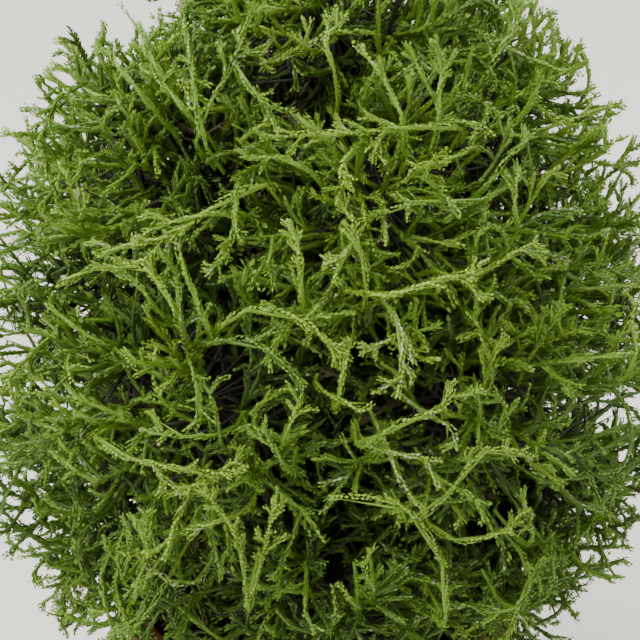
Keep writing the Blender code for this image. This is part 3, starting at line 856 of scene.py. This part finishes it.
def leaf_shades(shares, rows, pitch, shades, tip_shades, bloomed, rng):
    """Each leaf's colour: its shoot's, brighter at the tip, now and then a shade off, or pale with bloom."""
    shade = np.repeat(np.where(shares > TIP_COLOURED, tip_shades[rows], shades[rows]), 2)
    draw = rng.random(len(shade))
    with_bloom = (rng.random(len(shades)) < BLOOMED_SHOOTS) | bloomed
    bloom = np.where(with_bloom, BLOOM_ON_THEM, BLOOM_ELSEWHERE)[rows].repeat(2)
    bloom *= pitch < COARSE_SPACING
    shade = np.where((rng.random(len(shade)) < bloom) & (shade < SHADED), GREY, shade)
    green = shade < GREY
    shade = np.where(green & (draw < SHADE_OFF), np.maximum(shade - 1, FRESH), shade)
    return np.where(green & (draw > 1 - SHADE_OFF), np.minimum(shade + 1, SHADED), shade)


def scale_leaves(lines, lengths, radii, pitch, shades, tip_shades, bare, bloomed, rng):
    """Scale leaves in crossed pairs along every line: a pointed kite of two faces, folded along its keel."""
    counts = np.maximum(((lengths - bare) / pitch).astype(int) + 1, 1)
    rows, order = numbered(counts)
    distance = bare[rows] + order * pitch + rng.normal(0, PLACE_JITTER, len(rows)) * pitch
    shares = np.clip(distance / lengths[rows], 0, 1)
    points, ways = read_at(lines, rows, shares)
    side = unit(np.cross(ways, ASKEW))
    other = np.cross(ways, side)
    twist = rng.uniform(0, math.tau, len(lines))[rows] + order * LEAF_TURN
    near_tip = np.clip((shares - (1 - NEAR_TIP)) / NEAR_TIP, 0, 1)
    left = np.maximum(lengths[rows] - distance, 0) + TIP_LEAF
    is_open = rng.random(len(lines)) < OPEN_SHARE
    tip_stand = np.where(is_open, rng.uniform(*OPEN_TIP, len(lines)), LEAF_TIP)[rows]
    corners = []
    for half in (0, math.pi):
        turn = (twist + half + rng.normal(0, TURNED_JITTER, len(rows)))[:, None]
        out = side * np.cos(turn) + other * np.sin(turn)
        across = np.cross(ways, out)
        swell = 1 + SWELL * np.sin(order * SWELL_PACE + twist)
        size = (radii[rows] * swell * rng.uniform(*LEAF_SIZES, len(rows)))[:, None]
        long = LEAF_LENGTH * pitch * rng.uniform(*LEAF_LENGTHS, len(rows)) * (1 - SHORTER_LEAF * near_tip)
        long = np.minimum(long, left)[:, None]
        flare = tip_stand * rng.uniform(*LEAF_STANDS, len(rows)) * (1 - FLATTER_LEAF * near_tip)
        root = points + out * size * LEAF_ROOT
        tip = points + ways * long + out * size * flare[:, None]
        middle = points + ways * long * LEAF_WIDEST + out * size * LEAF_MIDDLE
        edge = across * size * LEAF_HALF_WIDTH
        corners.append(np.stack([root, tip, middle - edge, middle + edge], 1))
    corners = np.stack(corners, 1).reshape(-1, 3)
    faces = np.array([(0, 3, 1), (0, 1, 2)])[None] + 4 * np.arange(2 * len(rows))[:, None, None]
    shade = leaf_shades(shares, rows, pitch, shades, tip_shades, bloomed, rng)
    return corners, faces.reshape(-1, 3), np.repeat(shade, 2)


# browned is dead foliage's olive-brown, darkened as painted shade of the crown's inside.
GREENS = {
    "fresh_tip": "84a338",
    "light_green": "749431",
    "green": "66882c",
    "deep_green": "577528",
    "shaded_green": "456022",
    "grey_green": "95a079",
    "browned": "4c4a28",
}


def foliage_green(name, colour):
    """Scale leaves: smooth and a little waxy, so each catches a soft highlight along its keel."""
    material, shader = new_material(f"leaf_{name}", colour, 0.5)
    shader.inputs["Specular IOR Level"].default_value = 0.32
    return material


def twig_brown(name, colour):
    """Young stems under the leaves: dull, and where they have gone woody a brown darkened nearly to black as
    painted shade.
    """
    return new_material(f"stem_{name}", colour, 0.75)[0]


greens = [foliage_green(name, colour) for name, colour in GREENS.items()]
FRESH, LIGHT, GREEN, DEEP, SHADED, GREY, BROWNED_PAINTED_DARK, WOODY_PAINTED_DARK = range(8)
# The woody colour is real brown darkened nearly to black: painted shade of the crown's inside.
stem_colours = [*greens, twig_brown("woody", "232012")]
# A spray's colour is the first of light, green and deep green whose limit is above a random draw, which is
# raised by the spray's depth in the crown and by how low in it the spray is, as painted shade.
SHADE_LIMITS = (0.32, 0.72, 1.10)
SHADE_DRAW = 0.95
PAINTED_SHADE_DEPTH, DEEPEST, PAINTED_SHADE_BY_DEPTH = 0.042, 1.4, 0.55
LOW_SHARE, LOW_HEIGHT, PAINTED_SHADE_LOW_DOWN = 0.56, 0.06, 0.30
BROWNED_FROM, BROWNED_SPRAYS = 1.3, 0.25


def spray_shades(points, rng):
    """(shade, tip shade) of each spray that ends at a point: darker deep in the crown and low down in it as
    painted shade, and now and then browned where it is deepest."""
    # Painted shade: the greens grow darker with depth in the crown and low down in it.
    inside = np.clip(depth_of(points) / PAINTED_SHADE_DEPTH, 0, DEEPEST)
    low = PAINTED_SHADE_LOW_DOWN * np.clip((height_at(LOW_SHARE) - points[:, 2]) / LOW_HEIGHT, 0, 1)
    draw = SHADE_DRAW * rng.random(len(points)) + inside * PAINTED_SHADE_BY_DEPTH + low
    shade = np.select([draw < limit for limit in SHADE_LIMITS], [LIGHT, GREEN, DEEP], SHADED)
    tip = np.maximum(shade - 1, FRESH)
    brown = rng.random(len(points)) < BROWNED_SPRAYS * (inside > BROWNED_FROM)
    return np.where(brown, BROWNED_PAINTED_DARK, shade), np.where(brown, BROWNED_PAINTED_DARK, tip)


def joined(parts):
    """Batches of (corners, faces, slots) as one."""
    shift, corners, faces, slots = 0, [], [], []
    for part_corners, part_faces, part_slots in parts:
        corners.append(part_corners)
        faces.append(part_faces + shift)
        slots.append(part_slots)
        shift += len(part_corners)
    return np.concatenate(corners), np.concatenate(faces), np.concatenate(slots)


def source_twigs(index, space):
    """The clump's twigs as the solids have them, with the roots, ways and lengths of their side sprays."""
    centre = clumps[index][1]
    rng = Random(SEED + 100 + index)
    for _ in range(CORE_CORNERS):  # the source draws these for the clump's core before its twigs
        rng.random()
    lines, sprays = [], []
    for tip, owner in twig_tips:
        if owner != index:
            continue
        bow = twig_bow(centre, tip, rng)
        line = read_bow(bow, TWIG_RINGS)
        turn = rng.uniform(0, math.tau)
        if not space.holds(np.array(line[1:]), TWIG_RADIUS).all():
            continue
        lines.append(read_bow(bow, TWIG_POINTS))
        run = (line[-1] - line[0]).length
        for order, (from_tip, length) in enumerate(SPRAYS):
            start, direction = along(line, 1 - from_tip / run)
            side = Matrix.Rotation(turn + order * GOLDEN_ANGLE, 3, direction) @ square_to(direction)
            way = (direction * math.cos(SPRAY_ANGLE) + side * math.sin(SPRAY_ANGLE)).normalized()
            length *= rng.uniform(0.85, 1.15)
            ends = np.array([start + way * length * part for part in (SPRAY_BELLY, 1)])
            if space.holds(ends, SPRAY_RADIUS * 0.8).all():
                sprays.append((start, way, length))
    starts, ways, lengths = zip(*sprays)
    return np.array(lines), np.array(starts), np.array(ways), np.array(lengths)


def line_lengths(lines):
    return np.linalg.norm(np.diff(lines, axis=1), axis=2).sum(axis=1)


FILLER_TWIGS = 34
FILLER_DEPTHS = (0.004, 0.018)
INNER_TWIGS = 43
INNER_TWIGS_LOW = 58
INNER_DEPTHS = (0.016, 0.052)
TWIG_STEP = 0.002
TWIG_STEPS = 60
SHORTEST_TWIG = 0.016
# GROWTH is the steps, curl and rise as above, PLACES the shares of the carrier that bear the shoots, and
# SPREAD how far they turn off its way.
SPRAY_GROWTH = (8, 30, 26)
LEADERS = 22
LEADER_TRIES = 240
LEADER_PLACES = (0.55, 0.95)
LEADER_LENGTHS = (0.036, 0.058)
LEADER_SPREAD = 0.9
LEADER_GROWTH = (8, 42, 16)
SHORTEST_LEADER = 0.026
OLD_SHOOTS = 84
OLD_PLACES = (0.2, 1)
OLD_LENGTHS = (0.026, 0.052)
OLD_SPREAD = 0.7
OLD_GROWTH = (4, 26, 8)
OLD_ROOT = 0.0066
SHORTEST_OLD = 0.010
DEAD_TWIG_RADII = (0.0006, 0.0011)
AXIS_SHARE = 0.62


def more_twigs(index, space, count, depths, rng):
    """Further twigs by the same rule, whose tips end inside the crown between two depths."""
    centre = np.array(clumps[index][1])
    ways = unit(rng.normal(size=(count * 4, 3)))
    reach = np.full(len(ways), TWIG_STEP)
    depth = rng.uniform(*depths, len(ways))
    for _ in range(TWIG_STEPS):
        ends = centre + ways * (reach + TWIG_STEP)[:, None]
        free = space.holds(ends, SPRAY_ROOM) & (depth_of(ends) > depth)
        reach = np.where(free, reach + TWIG_STEP, reach)
    kept = np.flatnonzero(reach > SHORTEST_TWIG)[:count]
    tips_found = centre + ways[kept] * reach[kept, None]
    random = Random(SEED + 500 + index)
    bows = [twig_bow(Vector(centre), Vector(tip), random) for tip in tips_found]
    return np.array([read_bow(bow, TWIG_POINTS) for bow in bows])


# What each kind wears: the cord's radius, the spacing of its pairs of leaves, and its bare share at the root.
COATS = {
    "twig": (0.00110, 0.0014, 0.45),
    "side": (0.00104, 0.00100, 0),
    "shoot": (0.00094, 0.00096, 0),
    "shoot_tip": (0.00086, 0.00092, 0),
    "inner_twig": (0.0014, 0.0020, 0.5),
    "inner_side": (0.0015, 0.0023, 0),
    "inner_shoot": (0.0014, 0.0021, 0),
    "old_shoot": (0.0022, 0.0034, 0.1),
    "arching": (0.00104, 0.00080, 0.1),
    "arching_side": (0.00094, 0.00076, 0),
    "arching_tip": (0.00086, 0.00074, 0),
    "tuft": (0.00084, 0.00074, 0),
}


class Foliage:
    """Shoots gathered for one mass, which become two joined meshes: the leaves, and the stems that carry
    them."""

    def __init__(self, rng):
        self.rng = rng
        self.leaf_parts, self.stem_parts = [], []

    def clothe(self, kind, lines, lengths, shade, tip_shade, bloomed=False):
        """Puts the kind's coat of leaves, and a stem, on each line."""
        radius, pitch, bare_share = COATS[kind]
        rng = self.rng
        radii = radius * rng.uniform(0.88, 1.14, len(lines))
        bare = bare_share * lengths
        leaves = scale_leaves(lines, lengths, radii, pitch, shade, tip_shade, bare, bloomed, rng)
        self.leaf_parts.append(leaves)
        self.stem_parts.append(stems(lines, radii * STEM_SHARE, shade, bare_share))

    def bear(self, kind, carriers, carrier_lengths, space, shades=None):
        """Side shoots of a kind, grown and clothed, in their carriers' shades or else in their own."""
        lines, lengths, parents = branch(kind, carriers, carrier_lengths, space, self.rng)
        shades = [shade[parents] for shade in shades] if shades else spray_shades(lines[:, -1], self.rng)
        self.clothe(kind, lines, lengths, *shades)
        return lines, lengths, shades

    def make(self, name, *replaced):
        for kind, parts, materials, slot_name in (
            ("leaves", self.leaf_parts, greens, "foliage"),
            ("stems", self.stem_parts, stem_colours, "bark"),
        ):
            piece = mesh_from(f"{kind}_{name}", *joined(parts), materials)
            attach(piece, "root")
            if kind == "leaves" and replaced:
                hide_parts(*replaced)


def leaders(outer, space, rng):
    """Long cords that leave the outer twigs near their ends and arch over the crown's surface."""
    rows = rng.integers(0, len(outer), LEADER_TRIES)
    starts, ways = read_at(outer, rows, rng.uniform(*LEADER_PLACES, LEADER_TRIES))
    lengths = rng.uniform(*LEADER_LENGTHS, LEADER_TRIES)
    over = unit(ways + LEADER_SPREAD * rng.normal(size=(LEADER_TRIES, 3)))
    lines = grow(starts, over, lengths, *LEADER_GROWTH, rng)
    lines, lengths, _ = trimmed(lines, lengths, space, SPRAY_ROOM, SHORTEST_LEADER)
    return lines[:LEADERS], lengths[:LEADERS]


def shoots_off_bough(index, space, rng):
    """Old dull shoots that stand all round the bough, deep in the crown, each rooted in the bough's wood."""
    line = boughs[index][0] if index < len(boughs) else [trunk_point(0.5), trunk_point(0.75), trunk_point(1)]
    rows = np.zeros(OLD_SHOOTS, int)
    roots, ways = read_at(np.array(line)[None], rows, rng.uniform(*OLD_PLACES, OLD_SHOOTS))
    side = unit(np.cross(ways, rng.normal(size=ways.shape)))
    lengths = rng.uniform(*OLD_LENGTHS, OLD_SHOOTS)
    ways = unit(side + OLD_SPREAD * ways * rng.normal(size=(OLD_SHOOTS, 1)))
    lines = grow(roots + side * OLD_ROOT, ways, lengths, *OLD_GROWTH, rng)
    lines, lengths, kept = trimmed(lines, lengths, space, SHOOT_ROOM, SHORTEST_OLD)
    lines[:, 0] = roots[kept]
    return lines, lengths + OLD_ROOT


def grow_clump(index):
    """All the foliage of one clump: twigs and their sides, shoots and tips, an inner growth like it but
    coarser, old shoots on the bough, and dead twigs in the middle."""
    name = clumps[index][0]
    space = Space(index)
    rng = np.random.default_rng(SEED + 300 + index)
    foliage = Foliage(rng)
    twigs, starts, ways, lengths = source_twigs(index, space)
    outer = np.concatenate([twigs, more_twigs(index, space, FILLER_TWIGS, FILLER_DEPTHS, rng)])
    inner_count = INNER_TWIGS_LOW if name.startswith("low") else INNER_TWIGS
    inner = more_twigs(index, space, inner_count, INNER_DEPTHS, rng)
    outer_lengths, inner_lengths = line_lengths(outer), line_lengths(inner)
    foliage.clothe("twig", outer, outer_lengths, *spray_shades(outer[:, -1], rng))
    lengths = lengths * SPRAY_STRETCH
    sprays = grow(starts, ways, lengths, *SPRAY_GROWTH, rng)
    batches = (
        trimmed(sprays, lengths, space, SPRAY_ROOM, 4 * SPRAY_ROOM),
        branch("side", outer, outer_lengths, space, rng),
        leaders(outer, space, rng),
    )
    sides, side_lengths = (np.concatenate([batch[part] for batch in batches]) for part in (0, 1))
    shades = spray_shades(sides[:, -1], rng)
    foliage.clothe("side", sides, side_lengths, *shades)
    shoots = foliage.bear("shoot", sides, side_lengths, space, shades)
    foliage.bear("shoot_tip", shoots[0], shoots[1], space, shoots[2])

    foliage.clothe("inner_twig", inner, inner_lengths, *spray_shades(inner[:, -1], rng))
    sides, side_lengths, shades = foliage.bear("inner_side", inner, inner_lengths, space)
    foliage.bear("inner_shoot", sides, side_lengths, space, shades)

    old, old_lengths = shoots_off_bough(index, space, rng)
    # Painted shade: the old shoots deep in the crown are browned or shaded green, both darkened.
    shade = np.where(rng.random(len(old)) < 0.5, BROWNED_PAINTED_DARK, SHADED)
    foliage.clothe("old_shoot", old, old_lengths, shade, shade)

    axes = resampled(np.concatenate([outer, inner]), np.full(len(outer) + len(inner), AXIS_SHARE))
    dead, _, _ = branch("dead_twig", axes, line_lengths(axes), space, rng)
    dead_radii = rng.uniform(*DEAD_TWIG_RADII, len(dead))
    foliage.stem_parts.append(stems(dead, dead_radii, np.full(len(dead), WOODY_PAINTED_DARK), 1))
    foliage.make(name, f"foliage_{name}")


twig_tips = tips()
for index in range(len(clumps)):
    grow_clump(index)

# The arching shoots: the long young shoots that stand out from the crown's front, each a green cord that
# bears short side shoots and ends in a tuft. They root in the foliage behind them and arch over it.

ARCHING_REACH = 0.0100
PROUD_STEP = 0.0007
STAND_JITTER = 0.0006
FLAT_STEPS, CURVE_STEPS, ARCHING_STEPS = 12, 8, 16
TUFTED_LENGTH = 0.006
# The shoots' waves in pixels of the picture, and the near and far end and the step of the rays through it.
WAVE = 1.3
WAVE_LENGTHS = (24, 44)
RAY_PLACES = (0.36, 0.72, 0.0004)
# How far behind its first place, and how deep in the crown, a shoot has its root and the knee after it.
ROOT = (0.006, 0.022)
KNEE = (0.007, 0.006)
# Each shoot's colour, how proud of the crown it stands in steps of 0.7 mm, and its places in the 640 by 640
# picture from its root to its tip.
ARCHING_SHOOTS = (
    ("light", 6, (455, 127), (428, 126), (400, 128), (378, 130), (355, 136), (333, 132), (312, 130),
     (277, 138)),
    ("light", 5, (358, 143), (347, 155), (340, 168), (343, 182), (353, 191)),
    ("green", 4, (305, 166), (285, 158), (265, 157), (245, 158)),
    ("light", 5, (474, 146), (462, 154), (445, 161), (425, 164), (408, 170)),
    ("light", 6, (249, 188), (235, 190), (219, 202), (204, 215), (186, 228), (165, 238), (145, 244),
     (106, 249)),
    ("light", 6, (204, 214), (188, 219), (168, 222), (152, 229), (141, 238)),
    ("green", 5, (236, 189), (235, 205), (235, 222), (232, 240), (221, 262)),
    ("light", 7, (180, 325), (174, 305), (164, 287), (153, 273), (142, 263), (128, 262), (113, 267)),
    ("deep", 6, (184, 335), (181, 318), (179, 300), (178, 282), (176, 266)),
    ("green", 5, (203, 320), (198, 300), (189, 281), (180, 262), (177, 246), (175, 234)),
    ("light", 7, (224, 322), (236, 312), (257, 305), (276, 312), (297, 314), (311, 323), (322, 338),
     (344, 358)),
    ("deep", 5, (215, 343), (232, 338), (248, 337), (262, 347), (276, 355), (288, 366), (296, 380)),
    ("light", 7, (366, 292), (366, 272), (361, 254), (357, 238), (352, 218)),
    ("bloomed", 7, (354, 238), (349, 250), (341, 257), (329, 266)),
    ("light", 7, (349, 250), (341, 262), (337, 273), (335, 283)),
    ("light", 6, (301, 305), (299, 288), (301, 268), (299, 250), (293, 236)),
    ("green", 6, (298, 290), (294, 276), (289, 262)),
    ("fresh", 8, (369, 295), (386, 297), (403, 292), (420, 287), (436, 281), (450, 275), (464, 277),
     (479, 266)),
    ("light", 7, (452, 276), (462, 281), (473, 283)),
    ("green", 4, (512, 184), (494, 194), (476, 205), (455, 203), (428, 200), (402, 204), (385, 213),
     (364, 220)),
    ("green", 5, (507, 238), (500, 228), (490, 225), (483, 220)),
    ("light", 5, (500, 262), (510, 256), (522, 249), (535, 240)),
    ("green", 4, (517, 225), (514, 205), (515, 188), (517, 170)),
    ("light", 5, (404, 122), (399, 108), (388, 90), (381, 70), (368, 57), (354, 44)),
    ("green", 5, (440, 118), (437, 103), (441, 85), (446, 68), (443, 52)),
    ("green", 4, (433, 96), (425, 80), (415, 62), (408, 45)),
    ("light", 4, (329, 60), (326, 45), (327, 30), (332, 17)),
    ("green", 4, (200, 120), (212, 98), (228, 75), (238, 50), (246, 25), (252, 2)),
    ("green", 4, (232, 62), (243, 80), (258, 98), (275, 108), (292, 113)),
    ("green", 4, (198, 125), (195, 95), (192, 65), (186, 35), (181, 8)),
    ("green", 4, (190, 115), (176, 100), (163, 85), (150, 72)),
    ("bloomed", 8, (398, 322), (403, 333), (404, 345), (401, 358), (403, 372), (397, 390)),
    ("bloomed", 7, (401, 334), (388, 340), (375, 345), (362, 353)),
    ("bloomed", 7, (404, 336), (411, 347), (409, 361)),
    ("light", 6, (338, 400), (341, 385), (345, 370), (347, 355), (346, 340)),
    ("light", 7, (338, 398), (350, 405), (362, 411), (374, 404)),
    ("light", 8, (379, 437), (389, 427), (404, 420), (420, 417), (434, 415), (443, 405), (454, 394)),
    ("green", 7, (430, 416), (444, 421), (454, 431), (458, 443), (447, 448)),
    ("bloomed", 7, (386, 452), (402, 455), (420, 457), (440, 461)),
    ("bloomed", 7, (390, 455), (395, 470), (403, 484), (412, 497)),
    ("light", 8, (424, 517), (438, 503), (452, 492), (461, 478), (467, 463), (479, 452), (508, 446),
     (534, 457)),
    ("green", 7, (457, 488), (470, 495), (481, 509)),
    ("light", 7, (462, 541), (482, 539), (499, 533), (516, 524)),
    ("green", 6, (533, 545), (531, 528), (525, 511)),
    ("light", 7, (100, 447), (121, 456), (143, 462), (166, 466), (190, 471), (214, 474), (238, 472)),
    ("light", 7, (215, 478), (203, 482), (193, 487), (181, 492)),
    ("light", 7, (228, 520), (213, 522), (199, 527), (185, 531)),
    ("light", 7, (180, 512), (175, 527), (170, 541), (166, 555)),
    ("green", 7, (283, 465), (277, 452), (270, 442), (264, 431)),
    ("light", 7, (284, 440), (290, 425), (296, 412), (299, 402)),
    ("deep", 6, (219, 440), (218, 422), (213, 405), (209, 388)),
    ("green", 6, (205, 437), (190, 437), (175, 436), (162, 430), (156, 421)),
    ("light", 9, (246, 610), (246, 585), (243, 560), (239, 537), (226, 519), (213, 504), (204, 489)),
    ("light", 9, (250, 598), (259, 570), (265, 545), (270, 523), (277, 502)),
    ("light", 9, (446, 625), (448, 595), (445, 566), (434, 541), (421, 519), (405, 504), (384, 495),
     (330, 498)),
    ("light", 8, (133, 600), (141, 575), (147, 548), (146, 522)),
    ("green", 8, (122, 580), (128, 560), (131, 540), (124, 520)),
    ("green", 6, (372, 590), (367, 576), (362, 561)),
    ("green", 6, (354, 607), (348, 596), (339, 585)),
    ("green", 6, (177, 583), (162, 576), (147, 570)),
    ("green", 5, (116, 594), (119, 608), (126, 621), (137, 632)),
    ("green", 5, (154, 604), (146, 614), (137, 622), (126, 634)),
    ("deep", 5, (146, 600), (140, 613), (132, 626), (131, 638)),
    ("green", 5, (102, 590), (104, 603), (109, 615), (112, 630)),
    ("green", 5, (128, 588), (121, 573), (117, 557), (119, 541)),
    ("green", 5, (528, 586), (522, 600), (515, 612), (512, 630)),
    ("green", 5, (521, 612), (527, 597), (531, 580), (534, 566)),
    ("green", 4, (166, 80), (154, 64), (145, 47), (142, 32)),
    ("green", 4, (134, 86), (124, 73), (114, 60), (109, 50)),
    ("green", 4, (152, 303), (144, 291), (134, 281), (123, 273)),
    ("green", 4, (500, 52), (509, 36), (517, 22), (521, 8)),
    ("green", 4, (498, 168), (508, 157), (519, 146), (530, 136)),
)


class OpenSpace:
    """Where the arching shoots' side shoots may grow: in the crown or not far out of it."""

    def lets_grow(self, points, thickness):
        return within(points, ARCHING_REACH)


def on_crown(spots, proud):
    """The first point of the crown, with the proud amount added, behind each place of the picture. Where the
    crown is missed, the point that comes nearest to it is taken."""
    across = (spots[:, 0] / PICTURE_HALF - 1) * PICTURE_SPREAD
    upward = (1 - spots[:, 1] / PICTURE_HALF) * PICTURE_SPREAD
    rays = across[:, None] * np.array((1, 0, 0)) + upward[:, None] * np.array(VIEW_UP) - np.array(VIEW_BACK)
    places = np.array(VIEW_PLACE) + rays[:, None] * np.arange(*RAY_PLACES)[:, None]
    inside = within(places, proud[:, None])
    first = np.where(inside.any(axis=1), np.argmax(inside, axis=1), np.argmax(depth_of(places), axis=1))
    return places[np.arange(len(spots)), first]


def smooth_line(points, steps):
    """The points joined by a smooth curve, as evenly spaced points."""
    ends = np.concatenate([2 * points[:1] - points[1:2], points, 2 * points[-1:] - points[-2:-1]])
    dense = []
    for a, b, c, d in zip(ends, ends[1:], ends[2:], ends[3:]):
        for share in np.linspace(0, 1, CURVE_STEPS, endpoint=False):
            square = (2 * a - 5 * b + 4 * c - d) * share**2
            cube = (3 * b - a - 3 * c + d) * share**3
            dense.append(0.5 * (2 * b + (c - a) * share + square + cube))
    dense = np.array(dense + [points[-1]])
    run = np.concatenate([[0], np.cumsum(np.linalg.norm(np.diff(dense, axis=0), axis=1))])
    wanted = np.linspace(0, run[-1], steps + 1)
    return np.stack([np.interp(wanted, run, dense[:, axis]) for axis in range(dense.shape[1])], 1)


def arching_line(spots, proud, rng):
    """One long shoot of the side shown: from inside the crown out to its surface, and over it to its tip."""
    flat = smooth_line(np.array(spots, float), FLAT_STEPS)
    shares = np.linspace(0, 1, len(flat))
    run = np.linalg.norm(np.diff(flat, axis=0), axis=1).sum() * shares
    for axis in range(2):
        wave, phase = rng.uniform(*WAVE_LENGTHS), rng.uniform(0, math.tau)
        flat[:, axis] += WAVE * np.sin(run / wave * math.tau + phase)
    arched = 0.4 + 0.8 * np.sin(np.pi * (0.1 + 0.75 * shares))
    lifted = 0.4 + 1.1 * shares
    stand = proud * (arched if rng.random() < 0.5 else lifted) + STAND_JITTER * rng.normal(size=len(flat))
    smoothed = on_crown(flat, stand)
    for _ in range(3):
        smoothed[1:-1] = (smoothed[:-2] + 2 * smoothed[1:-1] + smoothed[2:]) / 4
    back = unit(smoothed[0] - smoothed[1])
    inward = unit(np.array((0, 0, height_at(CROWN_MIDDLE))) - smoothed[0])
    foot = [smoothed[0] + back * behind + inward * deep for behind, deep in (ROOT, KNEE)]
    return smooth_line(np.concatenate([foot, smoothed]), ARCHING_STEPS)


def grow_arching_shoots():
    rng = np.random.default_rng(SEED + 200)
    foliage = Foliage(rng)
    space = OpenSpace()
    lines = np.array([arching_line(spots, proud * PROUD_STEP, rng) for _, proud, *spots in ARCHING_SHOOTS])
    lengths = line_lengths(lines)
    colours = np.array([colour for colour, *_ in ARCHING_SHOOTS])
    bloomed = colours == "bloomed"
    choices = [colours == "fresh", bloomed | (colours == "light"), colours == "green"]
    shade = np.select(choices, [FRESH, LIGHT, GREEN], DEEP)
    shades = (shade, np.maximum(shade - 1, FRESH), bloomed)
    foliage.clothe("arching", lines, lengths, *shades)
    sides, side_lengths, side_shades = foliage.bear("arching_side", lines, lengths, space, shades)
    foliage.bear("arching_tip", sides, side_lengths, space, side_shades[:2])
    long = side_lengths > TUFTED_LENGTH
    tufted = ((lines, lengths, shade), (sides[long], side_lengths[long], side_shades[0][long]))
    for axes, axis_lengths, shade in tufted:
        tufts, tuft_lengths, parents = branch("tuft", axes, axis_lengths, space, rng)
        shade = np.maximum(shade[parents] - (rng.random(len(parents)) < 0.5), FRESH)
        foliage.clothe("tuft", tufts, tuft_lengths, shade, shade)
    foliage.make("arching_shoots")


grow_arching_shoots()

# The studio: a plain pale floor, a broad soft light from the upper left, a small one behind, and a little
# light from all round. The camera looks down on the front of the crown, as close as the photograph does.

LIGHT_TARGET = Vector((0, 0, 0.28))


def plain_floor():
    """A pale matt floor, much wider than any view of it."""
    bpy.ops.mesh.primitive_plane_add(size=60)
    floor = bpy.context.object
    floor.name = "floor"
    material, _ = new_material("floor_paint", "e0dfdb", 0.8)
    floor.data.materials.append(material)


def soft_light(name, place, size, power, colour):
    """A round soft light that points at the plant."""
    light = bpy.data.lights.new(name, "AREA")
    light.shape = "DISK"
    light.size = size
    light.energy = power
    light.color = colour
    lamp = bpy.data.objects.new(name, light)
    lamp.location = place
    lamp.rotation_euler = (LIGHT_TARGET - Vector(place)).to_track_quat("-Z", "Y").to_euler()
    bpy.context.scene.collection.objects.link(lamp)


def photo_camera():
    """The camera, at the photograph's viewing angle."""
    camera = bpy.data.cameras.new("camera")
    camera.lens = VIEW_LENS
    camera.clip_start = 0.01
    holder = bpy.data.objects.new("camera", camera)
    holder.location = VIEW_PLACE
    holder.rotation_euler = (-VIEW_BACK).to_track_quat("-Z", "Y").to_euler()
    bpy.context.scene.collection.objects.link(holder)
    bpy.context.scene.camera = holder


plain_floor()
soft_light("sky_window", (-0.9, -0.25, 1.75), 2.1, 54, (0.99, 1.0, 0.96))
soft_light("back_window", (0.9, 0.9, 1.3), 0.9, 12, (0.97, 0.99, 1.0))
photo_camera()
world = bpy.data.worlds.new("studio")
world.use_nodes = True
world.node_tree.nodes["Background"].inputs["Color"].default_value = linear("dadad2")
world.node_tree.nodes["Background"].inputs["Strength"].default_value = 1.8
bpy.context.scene.world = world
